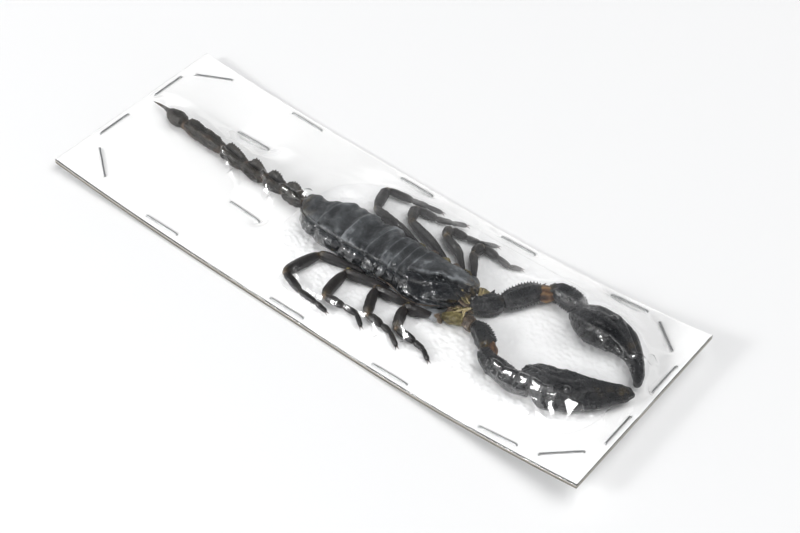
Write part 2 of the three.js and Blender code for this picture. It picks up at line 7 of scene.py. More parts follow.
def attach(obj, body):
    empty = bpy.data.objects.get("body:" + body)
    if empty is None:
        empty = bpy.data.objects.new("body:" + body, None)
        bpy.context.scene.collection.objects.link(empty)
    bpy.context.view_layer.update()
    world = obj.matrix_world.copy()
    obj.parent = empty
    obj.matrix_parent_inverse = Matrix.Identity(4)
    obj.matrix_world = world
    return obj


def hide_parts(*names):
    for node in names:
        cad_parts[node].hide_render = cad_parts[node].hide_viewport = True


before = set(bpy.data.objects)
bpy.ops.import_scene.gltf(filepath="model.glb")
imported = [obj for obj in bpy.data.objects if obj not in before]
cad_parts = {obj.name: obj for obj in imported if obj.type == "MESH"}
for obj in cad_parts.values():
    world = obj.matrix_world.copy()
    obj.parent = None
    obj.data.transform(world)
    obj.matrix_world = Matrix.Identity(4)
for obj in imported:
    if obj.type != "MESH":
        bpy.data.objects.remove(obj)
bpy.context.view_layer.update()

# ---------------------------------------------------------------- the card's own coordinates
# X runs from the tail end (0 to CARD_L), Y from the animal's right-hand edge (0 to CARD_W) and h is the
# height above the card's upper face, all in millimetres. at() turns them into the row frame.
CARD_L, CARD_W, CARD_T = 200.0, 70.0, 1.2
FLAT_TAIL, FLAT_HEAD, BOW_TAIL, BOW_HEAD = 65.0, 118.0, 0.000584, 0.001058
STAPLE_CROWN, WIRE_W, WIRE_T, CLINCH = 12.9, 0.5, 0.4, 4.6
PAD_X0, PAD_X1, PAD_HALF, PAD_MID, PAD_TOP, PAD_EDGE, PAD_BASE = 71.0, 192.0, 30.5, 35.0, 1.5, 0.75, 0.04


def bow(X):
    X = np.asarray(X, float)
    return BOW_TAIL * np.maximum(0, FLAT_TAIL - X) ** 2 + BOW_HEAD * np.maximum(0, X - FLAT_HEAD) ** 2


def slope(X):
    return -2 * BOW_TAIL * max(0.0, FLAT_TAIL - X) + 2 * BOW_HEAD * max(0.0, X - FLAT_HEAD)


def at(X, Y, h):
    X, Y, h = np.broadcast_arrays(np.asarray(X, float), np.asarray(Y, float), np.asarray(h, float))
    return np.stack([X - CARD_L / 2, Y - CARD_W / 2, CARD_T + bow(X) + h], -1)


def on_card(P):
    """Row millimetres back to X, Y, h."""
    X = P[..., 0] + CARD_L / 2
    return X, P[..., 1] + CARD_W / 2, P[..., 2] - CARD_T - bow(X)


# ---------------------------------------------------------------- noise
def hashed(i, j, k, seed):
    n = i * np.uint64(374761393) + j * np.uint64(668265263) + k * np.uint64(1440662683) + np.uint64(seed) * np.uint64(974634777)
    n = n & np.uint64(0xFFFFFFFF)
    n = ((n ^ (n >> np.uint64(13))) * np.uint64(1274126177)) & np.uint64(0xFFFFFFFF)
    n = ((n ^ (n >> np.uint64(15))) * np.uint64(2246822519)) & np.uint64(0xFFFFFFFF)
    return ((n ^ (n >> np.uint64(16))) & np.uint64(0xFFFFFF)).astype(float) / 0xFFFFFF


def noise(P, size, seed=0):
    q = np.asarray(P, float) / size + 4096.0
    i = np.floor(q)
    f = q - i
    i = i.astype(np.uint64)
    f = f * f * f * (f * (f * 6 - 15) + 10)
    out = np.zeros(q.shape[:-1])
    for a in (0, 1):
        for b in (0, 1):
            for c in (0, 1):
                w = (f[..., 0] if a else 1 - f[..., 0]) * (f[..., 1] if b else 1 - f[..., 1]) * (f[..., 2] if c else 1 - f[..., 2])
                out += w * hashed(i[..., 0] + np.uint64(a), i[..., 1] + np.uint64(b), i[..., 2] + np.uint64(c), seed)
    return out * 2 - 1


def fbm(P, size, octaves=3, seed=0):
    return sum(noise(P, size / 2 ** k, seed + 17 * k) / 2 ** k for k in range(octaves))


def bumps(P, size, seed=0):
    """Round lumps: 1 at the middle of a lump, 0 between them."""
    q = np.asarray(P, float) / size + 4096.0
    i = np.floor(q)
    f = q - i
    i = i.astype(np.uint64)
    best = np.full(q.shape[:-1], 9.0)
    for a in (-1, 0, 1):
        for b in (-1, 0, 1):
            for c in (-1, 0, 1):
                ii = [(i[..., 0].astype(np.int64) + a).astype(np.uint64), (i[..., 1].astype(np.int64) + b).astype(np.uint64), (i[..., 2].astype(np.int64) + c).astype(np.uint64)]
                o = [hashed(*ii, seed + s) for s in (1, 2, 3)]
                d = (a + o[0] - f[..., 0]) ** 2 + (b + o[1] - f[..., 1]) ** 2 + (c + o[2] - f[..., 2]) ** 2
                best = np.minimum(best, d)
    return np.clip(1 - np.sqrt(best) * 1.25, 0, 1)


def step01(x, lo, hi):
    t = np.clip((x - lo) / (hi - lo), 0, 1)
    return t * t * (3 - 2 * t)


# ---------------------------------------------------------------- curves through stations
def steady(x, y, q):
    """Monotone cubic through (x, y)."""
    x, y, q = np.asarray(x, float), np.asarray(y, float), np.asarray(q, float)
    flat = y.ndim == 1
    if flat:
        y = y[:, None]
    h = np.diff(x)
    d = np.diff(y, axis=0) / h[:, None]
    m = np.zeros_like(y)
    if len(x) > 2:
        w1, w2 = (2 * h[1:] + h[:-1])[:, None], (h[1:] + 2 * h[:-1])[:, None]
        ok = d[:-1] * d[1:] > 0
        a, b = np.where(ok, d[:-1], 1), np.where(ok, d[1:], 1)
        m[1:-1] = np.where(ok, (w1 + w2) / (w1 / a + w2 / b), 0)
    m[0], m[-1] = d[0], d[-1]
    return hermite(x, y, m, q, flat)


def hermite(x, y, m, q, flat=False):
    i = np.clip(np.searchsorted(x, q, "right") - 1, 0, len(x) - 2)
    h = (x[i + 1] - x[i])
    t = ((q - x[i]) / h)[:, None]
    h = h[:, None]
    out = (2 * t ** 3 - 3 * t ** 2 + 1) * y[i] + (t ** 3 - 2 * t ** 2 + t) * h * m[i] + (3 * t ** 2 - 2 * t ** 3) * y[i + 1] + (t ** 3 - t ** 2) * h * m[i + 1]
    return out[:, 0] if flat else out


def smooth(x, y, q):
    """Rounded curve through the points."""
    m = np.zeros_like(y)
    h = np.diff(x)[:, None]
    d = np.diff(y, axis=0) / h
    if len(x) > 2:
        m[1:-1] = (d[:-1] * h[1:] + d[1:] * h[:-1]) / (h[1:] + h[:-1])
    m[0], m[-1] = d[0], d[-1]
    return hermite(x, y, m, q)


def unit(v):
    return v / np.maximum(1e-12, np.linalg.norm(v, axis=-1, keepdims=True))


# ---------------------------------------------------------------- building pieces
def outward(V, Q, T):
    """Turns the faces so that the closed skin faces out."""
    total = 0.0
    if len(Q):
        a, b, c, d = (V[Q[:, k]] for k in range(4))
        total += (a * np.cross(b, c)).sum() + (a * np.cross(c, d)).sum()
    if len(T):
        a, b, c = (V[T[:, k]] for k in range(3))
        total += (a * np.cross(b, c)).sum()
    if total < 0:
        Q, T = Q[:, ::-1], T[:, ::-1]
    return V, Q, T


def skin(rings, pole0, pole1):
    """A closed skin over rings of points, (n, sides, 3), with a pole at each end."""
    n, m = rings.shape[:2]
    V = np.concatenate([rings.reshape(-1, 3), [pole0], [pole1]])
    i, j = np.meshgrid(np.arange(n - 1), np.arange(m), indexing="ij")
    a, b = i * m + j, i * m + (j + 1) % m
    Q = np.stack([a, b, b + m, a + m], -1).reshape(-1, 4)
    j = np.arange(m)
    k = (j + 1) % m
    T = np.concatenate([np.stack([np.full(m, n * m), k, j], -1), np.stack([np.full(m, n * m + 1), (n - 1) * m + j, (n - 1) * m + k], -1)])
    return outward(V, Q, T)


def tube(stations, step=0.3, sides=32, caps=(0.5, 0.5), section=None, relief=None):
    """A limb through stations (X, Y, h, half width, half height), closed by rounded ends.
    section(u, angle) scales its cross-section, relief(mm along, angle, point) raises its skin, in mm."""
    st = np.array(stations, float)
    C = at(st[:, 0], st[:, 1], st[:, 2])
    s = np.r_[0, np.cumsum(np.linalg.norm(np.diff(C, axis=0), axis=1))]
    n = max(4, int(math.ceil(s[-1] / step)))
    q = np.linspace(0, s[-1], n + 1)
    c, ab = smooth(s, C, q), steady(s, st[:, 3:5], q)
    t = unit(np.gradient(c, q, axis=0))
    side = unit(np.cross([0, 0, 1.0], t))
    rise = np.cross(t, side)
    K = 6
    ph = np.arange(1, K) / K * (math.pi / 2)
    first = [(c[0] - t[0] * caps[0] * math.cos(p), math.sin(p), 0) for p in ph]
    last = [(c[-1] + t[-1] * caps[1] * math.cos(p), math.sin(p), n) for p in ph[::-1]]
    centre = np.array([f[0] for f in first] + list(c) + [f[0] for f in last])
    k = np.array([f[1] for f in first] + [1.0] * (n + 1) + [f[1] for f in last])[:, None]
    row = np.array([0] * len(first) + list(range(n + 1)) + [n] * len(last))
    th = (2 * math.pi * (np.arange(sides) + 0.5) / sides)[None, :]
    a, b = ab[row, 0][:, None], ab[row, 1][:, None]
    S = (q[row] + np.r_[-caps[0] * np.cos(ph), np.zeros(n + 1), caps[1] * np.cos(ph[::-1])])[:, None] + 0 * th
    mul = section(S / s[-1], th + 0 * S) if section else 1.0
    P = centre[:, None, :] + side[row][:, None, :] * (a * k * mul * np.cos(th))[..., None] + rise[row][:, None, :] * (b * k * mul * np.sin(th))[..., None]
    N = unit(side[row][:, None, :] * (np.cos(th) * b)[..., None] + rise[row][:, None, :] * (np.sin(th) * a)[..., None])
    if relief:
        P = P + N * (relief(S, th + 0 * S, P) * k)[..., None]
    return skin(P, c[0] - t[0] * caps[0], c[-1] + t[-1] * caps[1])


def cone(base, tip, r, sides=8, curl=0.0, rings=5):
    """A thorn from base to tip, both in row mm."""
    base, tip = np.asarray(base, float), np.asarray(tip, float)
    d = tip - base
    t = unit(d)
    ref = np.array([0, 0, 1.0]) if abs(t[2]) < 0.9 else np.array([1.0, 0, 0])
    x = unit(np.cross(ref, t))
    y = np.cross(t, x)
    u = np.linspace(0, 0.96, rings)
    th = 2 * math.pi * np.arange(sides) / sides
    R = r * (1 - u) ** 0.8
    c = base + d * u[:, None] + y * (curl * np.sin(math.pi * u))[:, None]
    P = c[:, None, :] + x * (R[:, None] * np.cos(th))[..., None] + y * (R[:, None] * np.sin(th))[..., None]
    return skin(P, base - t * r * 0.3, tip)


def knob(centre, radii, sides=20, seed=None, rough=0.0, spin=0.0):
    """A rounded lump about a point, in row mm."""
    n = sides // 2 + 1
    ph = math.pi * np.arange(1, n) / n
    th = 2 * math.pi * np.arange(sides) / sides
    D = np.stack([np.sin(ph)[:, None] * np.cos(th), np.sin(ph)[:, None] * np.sin(th), np.cos(ph)[:, None] + 0 * th], -1)
    P = D * np.array(radii)
    if seed is not None:
        P = P * (1 + rough * fbm(P + 31 * seed, max(radii) * 0.7, 3, seed))[..., None]
    R = np.array([[math.cos(spin), -math.sin(spin), 0], [math.sin(spin), math.cos(spin), 0], [0, 0, 1]])
    P = P @ R.T + np.asarray(centre, float)
    return skin(P, np.asarray(centre, float) + [0, 0, radii[2]], np.asarray(centre, float) - [0, 0, radii[2]])


SPECIMEN = []   # every vertex of the specimen, for the film that lies over it


def crests(co, loops, totals, normals, rounds=14, full=0.16):
    """0 in hollows, 1 on crests: how far each point stands out from the skin averaged round it."""
    ends = np.cumsum(totals)
    nxt = np.arange(1, len(loops) + 1)
    nxt[ends - 1] = ends - totals
    a = np.concatenate([loops, loops[nxt]])
    b = np.concatenate([loops[nxt], loops])
    n = len(co)
    deg = np.maximum(1, np.bincount(a, minlength=n))
    mean = co.copy()
    for _ in range(rounds):
        mean = np.stack([np.bincount(a, weights=mean[b, k], minlength=n) / deg for k in range(3)], -1)
    high = ((co - mean) * normals).sum(-1)
    return np.clip(0.5 + (high - np.median(high)) / (2 * full), 0, 1)


def piece(name, parts, materials, stands_for=(), tan=None, specimen=False, flat=False, gloss_and_shade=None):
    """parts: (V, Q, T) or (V, Q, T, material index), in row mm."""
    co, loops, starts, totals, slots, base = [], [], [], [], [], 0
    for part in parts:
        V, Q, T = part[:3]
        m = part[3] if len(part) > 3 else 0
        for F in (np.asarray(Q, int).reshape(-1, 4), np.asarray(T, int).reshape(-1, 3)):
            if len(F):
                loops.append((F + base).ravel())
                totals.append(np.full(len(F), F.shape[1]))
                slots.append(np.full(len(F), m))
        co.append(V)
        base += len(V)
    co, loops, totals, slots = np.concatenate(co), np.concatenate(loops), np.concatenate(totals), np.concatenate(slots)
    me = bpy.data.meshes.new(name)
    me.vertices.add(len(co))
    me.vertices.foreach_set("co", (co / 1000).astype(np.float32).ravel())
    me.loops.add(len(loops))
    me.loops.foreach_set("vertex_index", loops.astype(np.int32))
    me.polygons.add(len(totals))
    me.polygons.foreach_set("loop_start", np.r_[0, np.cumsum(totals)[:-1]].astype(np.int32))
    me.polygons.foreach_set("loop_total", totals.astype(np.int32))
    me.polygons.foreach_set("material_index", slots.astype(np.int32))
    me.polygons.foreach_set("use_smooth", np.full(len(totals), not flat))
    me.update(calc_edges=True)
    me.validate()
    for m in materials:
        me.materials.append(m)
    if specimen:
        normals = np.zeros(len(co) * 3, np.float32)
        me.vertex_normals.foreach_get("vector", normals)
        at_ = me.attributes.new("crest", "FLOAT", "POINT")
        at_.data.foreach_set("value", crests(co, loops, totals, normals.reshape(-1, 3)).astype(np.float32))
    if tan is not None:
        at_ = me.attributes.new("tan", "FLOAT", "POINT")
        at_.data.foreach_set("value", np.clip(tan(*on_card(co), co), 0, 1).astype(np.float32))
    if gloss_and_shade is not None:
        at_ = me.attributes.new("gloss_and_shade", "FLOAT", "POINT")
        at_.data.foreach_set("value", gloss_and_shade.astype(np.float32))
    ob = bpy.data.objects.new(name, me)
    bpy.context.scene.collection.objects.link(ob)
    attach(ob, "root")
    if stands_for:
        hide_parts(*stands_for)
    if specimen:
        SPECIMEN.append(co)
    return ob


# ---------------------------------------------------------------- materials
def new_material(name):
    m = bpy.data.materials.new(name)
    m.use_nodes = True
    nt = m.node_tree
    nt.nodes.clear()
    out = nt.nodes.new("ShaderNodeOutputMaterial")
    p = nt.nodes.new("ShaderNodeBsdfPrincipled")
    nt.links.new(p.outputs[0], out.inputs[0])
    return m, nt, p


def tex(nt, kind, scale, detail=4.0, rough=0.55, stretch=None):
    co = nt.nodes.new("ShaderNodeTexCoord")
    src = co.outputs["Object"]
    if stretch:
        mp = nt.nodes.new("ShaderNodeMapping")
        mp.inputs["Scale"].default_value = stretch
        nt.links.new(src, mp.inputs["Vector"])
        src = mp.outputs[0]
    if kind == "noise":
        n = nt.nodes.new("ShaderNodeTexNoise")
        n.inputs["Detail"].default_value = detail
        n.inputs["Roughness"].default_value = rough
        out = n.outputs["Fac"]
    else:
        n = nt.nodes.new("ShaderNodeTexVoronoi")
        out = n.outputs["Distance"]
    n.inputs["Scale"].default_value = scale
    nt.links.new(src, n.inputs["Vector"])
    return out


def ramp(nt, src, stops):
    r = nt.nodes.new("ShaderNodeValToRGB")
    e = r.color_ramp.elements
    while len(e) > 1:
        e.remove(e[-1])
    for k, (pos, col) in enumerate(stops):
        el = e[0] if k == 0 else e.new(pos)
        el.position = pos
        el.color = (*col, 1.0)
    nt.links.new(src, r.inputs[0])
    return r.outputs[0]


def spread(nt, src, lo, hi, out_lo, out_hi):
    r = nt.nodes.new("ShaderNodeMapRange")
    for k, v in (("From Min", lo), ("From Max", hi), ("To Min", out_lo), ("To Max", out_hi)):
        r.inputs[k].default_value = v
    nt.links.new(src, r.inputs["Value"])
    return r.outputs[0]


def blend_colour(nt, fac, a, b):
    m = nt.nodes.new("ShaderNodeMix")
    m.data_type = "RGBA"
    for sock, v in ((m.inputs[6], a), (m.inputs[7], b)):
        if isinstance(v, tuple):
            sock.default_value = (*v, 1.0)
        else:
            nt.links.new(v, sock)
    if isinstance(fac, float):
        m.inputs[0].default_value = fac
    else:
        nt.links.new(fac, m.inputs[0])
    return m.outputs[2]


def add(nt, a, b, weight=1.0):
    m = nt.nodes.new("ShaderNodeMath")
    m.operation = "MULTIPLY_ADD"
    nt.links.new(b, m.inputs[0])
    m.inputs[1].default_value = weight
    nt.links.new(a, m.inputs[2])
    return m.outputs[0]


def bumped(nt, p, height, strength, distance):
    b = nt.nodes.new("ShaderNodeBump")
    b.inputs["Strength"].default_value = strength
    b.inputs["Distance"].default_value = distance
    nt.links.new(height, b.inputs["Height"])
    nt.links.new(b.outputs[0], p.inputs["Normal"])


def cuticle(name, dark, mid, light, rough, grain=1800, wrinkle=520, strength=0.35, tan=None, spec=0.5, stretch=None, gloss=0.0, crest=0.20, lift=None, stops=(0.35, 0.62, 0.88)):
    """Dried cuticle: mottled near-black, with fine granules and drying wrinkles, and tan where the skin is thin.
    Painted shade darkens its hollows against its crests.
    """
    m, nt, p = new_material(name)
    big = tex(nt, "noise", 160, 4, 0.6)
    fine = tex(nt, "noise", 1100, 3, 0.6)
    up = nt.nodes.new("ShaderNodeAttribute")
    up.attribute_name = "crest"
    # painted shade: the colour runs darker into the hollows, by the crest attribute, and towards lift (or crest) on the
    # crests
    painted_shade = spread(nt, up.outputs["Fac"], 0.0, 1.0, -crest, crest if lift is None else lift)
    # on the glossy bare flank, mostly the near one, the colour is darkened too: painted shade
    if gloss:
        flank_shade = nt.nodes.new("ShaderNodeAttribute")
        flank_shade.attribute_name = "gloss_and_shade"
        painted_shade = add(nt, painted_shade, flank_shade.outputs["Fac"], -0.24)
    col = ramp(nt, add(nt, add(nt, big, fine, 0.25), painted_shade, 1.0), [(stops[0], dark), (stops[1], mid), (stops[2], light)])
    if tan:
        a = nt.nodes.new("ShaderNodeAttribute")
        a.attribute_name = "tan"
        patch = ramp(nt, tex(nt, "noise", 700, 3), [(0.3, tan[0]), (0.7, tan[1])])
        col = blend_colour(nt, a.outputs["Fac"], col, patch)
    nt.links.new(col, p.inputs["Base Color"])
    worn = spread(nt, tex(nt, "noise", 420, 4, 0.65), 0.3, 0.7, rough[0], rough[1])
    if gloss:
        shiny = nt.nodes.new("ShaderNodeAttribute")
        shiny.attribute_name = "gloss_and_shade"
        worn = add(nt, worn, shiny.outputs["Fac"], -gloss)
        nt.links.new(shiny.outputs["Fac"], p.inputs["Coat Weight"])
        p.inputs["Coat Roughness"].default_value = 0.13
    nt.links.new(worn, p.inputs["Roughness"])
    p.inputs["Specular IOR Level"].default_value = spec
    h = add(nt, tex(nt, "noise", wrinkle, 5, 0.6, stretch), tex(nt, "cells", grain), 0.35)
    bumped(nt, p, h, strength, 0.00025)
    return m


TAN = ((0.075, 0.05, 0.018), (0.20, 0.145, 0.055))
# the back plates' pale blue-grey stops are painted sheen, and the strong crest term paints shade into the seams and
# hollows
M_BODY = cuticle("cuticle_body", (0.008, 0.0095, 0.011), (0.061, 0.066, 0.070), (0.19, 0.203, 0.213), (0.38, 0.54), tan=TAN, gloss=0.27, crest=0.26, lift=-0.02, spec=0.9, stops=(0.36, 0.55, 0.70))
M_LIMB = cuticle("cuticle_limb", (0.006, 0.0055, 0.0055), (0.015, 0.0135, 0.0135), (0.030, 0.027, 0.025), (0.28, 0.46), tan=TAN)
M_CLAW = cuticle("cuticle_claw", (0.005, 0.0055, 0.006), (0.010, 0.0105, 0.0115), (0.036, 0.036, 0.037), (0.20, 0.38), grain=1500, tan=TAN, spec=0.5)
M_TAIL = cuticle("cuticle_tail", (0.009, 0.008, 0.007), (0.022, 0.020, 0.017), (0.042, 0.037, 0.031), (0.42, 0.64), grain=1300, strength=0.5, tan=((0.06, 0.028, 0.014), (0.12, 0.07, 0.035)))
M_GOLD = cuticle("membrane_gold", (0.03, 0.023, 0.007), (0.085, 0.068, 0.022), (0.22, 0.185, 0.08), (0.32, 0.55), wrinkle=900, strength=0.8)
M_PALE = cuticle("tendon_pale", (0.16, 0.12, 0.05), (0.38, 0.31, 0.16), (0.58, 0.50, 0.32), (0.32, 0.5), wrinkle=900, strength=0.6)
M_BROWN = cuticle("membrane_brown", (0.02, 0.014, 0.010), (0.06, 0.043, 0.03), (0.15, 0.11, 0.075), (0.32, 0.5), wrinkle=800, strength=0.8)
M_ORANGE = cuticle("membrane_orange", (0.030, 0.013, 0.006), (0.10, 0.045, 0.018), (0.26, 0.16, 0.07), (0.32, 0.55), wrinkle=900, strength=0.8)
M_TOOTH = cuticle("cuticle_tooth", (0.02, 0.014, 0.006), (0.05, 0.036, 0.014), (0.11, 0.08, 0.03), (0.25, 0.42))
M_TARSUS = cuticle("cuticle_tarsal_claw", (0.03, 0.012, 0.009), (0.07, 0.03, 0.022), (0.13, 0.065, 0.045), (0.25, 0.4))
M_EYE = cuticle("cuticle_eye", (0.002, 0.002, 0.002), (0.004, 0.004, 0.004), (0.006, 0.006, 0.006), (0.04, 0.08), strength=0.02)

# ---------------------------------------------------------------- fore body
BODY = np.array([
    [73.3, 36.0, 2.7, 2.0, 6.4], [75.5, 35.2, 4.6, 1.95, 7.4], [78, 34.4, 6.2, 1.9, 8.3], [83, 34.0, 8.4, 1.9, 9.4],
    [90, 34.3, 9.8, 1.9, 10.2], [97, 34.4, 9.9, 1.9, 10.4], [105, 34.6, 9.6, 1.9, 10.4], [114, 34.7, 9.4, 1.9, 10.3],
    [122, 34.8, 9.6, 1.9, 10.2], [128, 35.3, 9.2, 1.9, 9.7], [131.5, 35.9, 8.2, 1.9, 9.0], [134.2, 36.6, 6.4, 2.2, 7.6]])
RING_EDGES = [73.3, 84.6, 94.8, 103.6, 109.4, 112.6, 115.6, 118.4]
# round the cross-section: share of the half width, share of the height, how much it is back plate, how much bare flank
ABDOMEN = [(0, 0.975, 1, 0), (0.25, 0.995, 1, 0), (0.45, 0.985, 1, 0), (0.62, 0.945, 1, 0), (0.78, 0.87, 1, 0), (0.90, 0.76, 1, 0), (0.985, 0.63, 0.7, 0), (0.985, 0.55, 0.2, 0), (0.93, 0.49, 0, 0.2),
           (0.90, 0.40, 0, 0.3), (0.87, 0.27, 0, 0.2), (0.78, 0.14, 0, 0), (0.6, 0.03, 0, 0), (0.3, 0, 0, 0), (0, 0, 0, 0), (-0.3, 0, 0, 0), (-0.6, 0.03, 0, 0), (-0.78, 0.13, 0, 0), (-0.88, 0.27, 0, 0.3),
           (-0.94, 0.38, 0, 0.7), (-0.925, 0.48, 0, 1), (-0.89, 0.585, 0, 1), (-0.845, 0.68, 0, 1), (-0.785, 0.75, 0, 0.9), (-0.72, 0.79, 0, 0.5), (-0.668, 0.80, 0, 0), (-0.674, 0.845, 0.3, 0), (-0.664, 0.885, 0.6, 0),
           (-0.625, 0.925, 0.9, 0), (-0.57, 0.95, 1, 0), (-0.48, 0.965, 1, 0), (-0.33, 0.985, 1, 0), (-0.17, 0.98, 1, 0)]
CARAPACE = [(0, 0.985, 1, 0), (0.2, 1.0, 1, 0), (0.4, 0.985, 1, 0), (0.56, 0.955, 1, 0), (0.72, 0.90, 1, 0), (0.85, 0.80, 1, 0), (0.94, 0.68, 0.8, 0), (0.985, 0.56, 0.3, 0), (0.97, 0.42, 0, 0), (0.93, 0.29, 0, 0),
            (0.86, 0.16, 0, 0), (0.72, 0.06, 0, 0), (0.5, 0.01, 0, 0), (0.25, 0, 0, 0), (0, 0, 0, 0), (-0.25, 0, 0, 0), (-0.5, 0.01, 0, 0), (-0.72, 0.06, 0, 0), (-0.86, 0.16, 0, 0), (-0.93, 0.29, 0, 0.4),
            (-0.97, 0.42, 0, 0.8), (-0.96, 0.54, 0.2, 1), (-0.90, 0.65, 0.5, 0.8), (-0.82, 0.74, 0.8, 0.6), (-0.72, 0.81, 1, 0.5), (-0.6, 0.87, 1, 0.4), (-0.45, 0.92, 1, 0.2), (-0.3, 0.955, 1, 0), (-0.15, 0.975, 1, 0)]
# how far the plates' far margin stands in from the outline, mm, along X
FAR_IN = np.array([(73, 0), (77, 0), (80, 1.1), (82.4, 0.4), (84.4, 0.5), (86.6, -0.5), (90.6, 0), (94.3, 0.5), (96.6, 1.9), (98.5, 1.0), (102, 0.1), (105.3, 1.5), (107.2, 2.3), (109.4, 1.4), (113.6, 1.2), (117.5, 1.3), (122.5, 0.7),
                   (127, 0.9), (131.4, 0.4), (134.6, 0)])
SIDES = 164


def closed_section(loop, sides):
    pts = np.array(loop, float)
    n = len(pts)
    d = np.r_[0, np.cumsum(np.linalg.norm(np.roll(pts, -1, 0)[:, :2] - pts[:, :2], axis=1))]
    x = np.concatenate([[d[-3] - d[-1], d[-2] - d[-1]], d[:n], d[-1] + d[:3]])
    return smooth(x, np.concatenate([pts[-2:], pts, pts[:3]]), np.arange(sides) / sides * d[-1])


SEC_A, SEC_C = closed_section(ABDOMEN, SIDES), closed_section(CARAPACE, SIDES)


def body_rings(Xs, mix):
    """Rings of points in card coordinates, the way out of each, and the section they follow."""
    mid, w, lo, hi = (steady(BODY[:, 0], BODY[:, k], Xs) for k in (1, 2, 3, 4))
    mix = mix[:, None, None]
    sec = SEC_A[None] * (1 - mix) + SEC_C[None] * mix
    Y = mid[:, None] + sec[..., 0] * w[:, None]
    Y = Y - steady(FAR_IN[:, 0], FAR_IN[:, 1], Xs)[:, None] * step01(sec[..., 0], 0.3, 0.95)
    h = lo[:, None] + sec[..., 1] * (hi - lo)[:, None]
    P = np.stack([Xs[:, None] + 0 * Y, Y, h], -1)
    T = np.roll(P, -1, 1) - np.roll(P, 1, 1)
    N = unit(np.stack([0 * Y, T[..., 2], -T[..., 1]], -1))
    if (N[..., 2] * (sec[..., 1] - 0.5)).sum() < 0:
        N = -N
    return P, N, sec


def close_rings(P):
    """Ends folded in under the rim, so that each ring is a closed shell."""
    def fold(ring):
        c = ring.mean(0)
        return [c + (ring - c) * k + np.array([d, 0, 0]) for k, d in ((0.985, 0.0), (0.95, 0.03), (0.86, 0.15), (0.5, 0.3))]
    a, b = fold(P[0]), [q * [1, 1, 1] for q in fold(P[-1])]
    rings = np.array(a[::-1] + list(P) + b)
    R = at(rings[..., 0], rings[..., 1], rings[..., 2])
    return skin(R, R[0].mean(0), R[-1].mean(0))


def arch(X, u):
    """The plates' seams lag towards the tail over the middle of the back."""
    k = step01(X, 76, 90) * (1 - 0.8 * step01(X, 106, 113)) * (1 - step01(X, 114, 118))
    return k * np.where(u > 0, 3.0 * u ** 2, 1.0 * u ** 2)


def body_relief(P, N, sec, t, length, seed):
    u, v, plate, flank = (sec[..., k] for k in range(4))
    plate, flank = np.clip(plate, 0, 1), np.clip(flank, 0, 1)
    R = at(P[..., 0], P[..., 1], P[..., 2])
    tt, mm = t[:, None], (t * length)[:, None]
    back = (1 - t[:, None]) * length
    lip = min(1.0, length / 6)
    belly = step01(0.25 - v, 0, 0.15)
    # each plate's hind rim stands up over the one behind, and its front runs in under the one before
    d = plate * (0.34 * lip * np.exp(-(mm / 1.8) ** 2) - 0.20 * np.exp(-(mm / 0.22) ** 2) - 0.66 * lip * np.exp(-(back / 0.5) ** 2))
    # the dried plates sag between their rims and carry soft slanting folds
    sag = np.sin(math.pi * np.clip(tt, 0, 1))
    d -= plate * 0.50 * lip * sag * np.exp(-((u - 0.1) / 0.55) ** 2)
    lean = R * [0.85, 0.24, 0.2] + R[..., 1:2] * [0.30, 0, 0]
    soft = noise(lean, 3.4, seed + 2)
    soft = np.where(soft > 0, soft ** 0.8, -np.abs(soft) ** 1.2)
    d += plate * lip * (1.0 * soft + 0.42 * noise(lean, 1.7, seed) + 0.08 * fbm(R * [1.0, 0.35, 0.6], 1.1, 3, seed + 5))
    d += plate * 0.18 * lip * np.exp(-((u - 0.02) / 0.10) ** 2) * sag
    # the near rim of each plate is drawn in, unevenly
    d -= np.exp(-((u + 0.60) / 0.10) ** 2) * step01(v, 0.7, 0.8) * (0.24 - 0.50 * noise(R * [1.0, 0.25, 0.25], 1.5, seed + 6))
    # margins swell between the seams
    d += np.exp(-((u - 0.97) / 0.12) ** 2) * 0.25 * (sag - 0.5)
    # one glossy, crumpled bulge of bare skin to a ring
    bulge = np.sqrt(np.clip(np.sin(math.pi * np.clip(tt * 1.06 - 0.03, 0, 1)), 0, 1))
    crumple = 1 - 2 * np.abs(noise(R * [1.3, 0.4, 0.4], 1.9, seed + 9))
    d += flank * (1.65 * bulge - 1.25 + 0.17 * crumple + 0.17 * fbm(R, 2.2, 2, seed + 11) + 0.05 * fbm(R, 0.8, 2, seed + 12))
    d += belly * (0.12 * (1 - tt) - 0.05) + 0.03 * fbm(R, 0.6, 2, seed + 3)
    return P + N * d[..., None]


def body_tan(X, Y, h, co):
    far = step01(Y, 41.5, 43.0) * step01(X, 106, 109) * step01(132 - X, 0, 4) * step01(8.2 - h, 0, 1.2) * 0.75
    rear = step01(77.0 - X, 0, 3.4) * step01(fbm(co, 1.3, 3, 3), -0.2, 0.5) * 0.55
    spots = step01(fbm(co, 2.2, 2, 8), 0.62, 0.9) * 0.22
    return np.maximum(np.maximum(far * step01(fbm(co, 1.6, 2, 5), -0.3, 0.3), rear), spots * step01(9.5 - h, 0, 2))


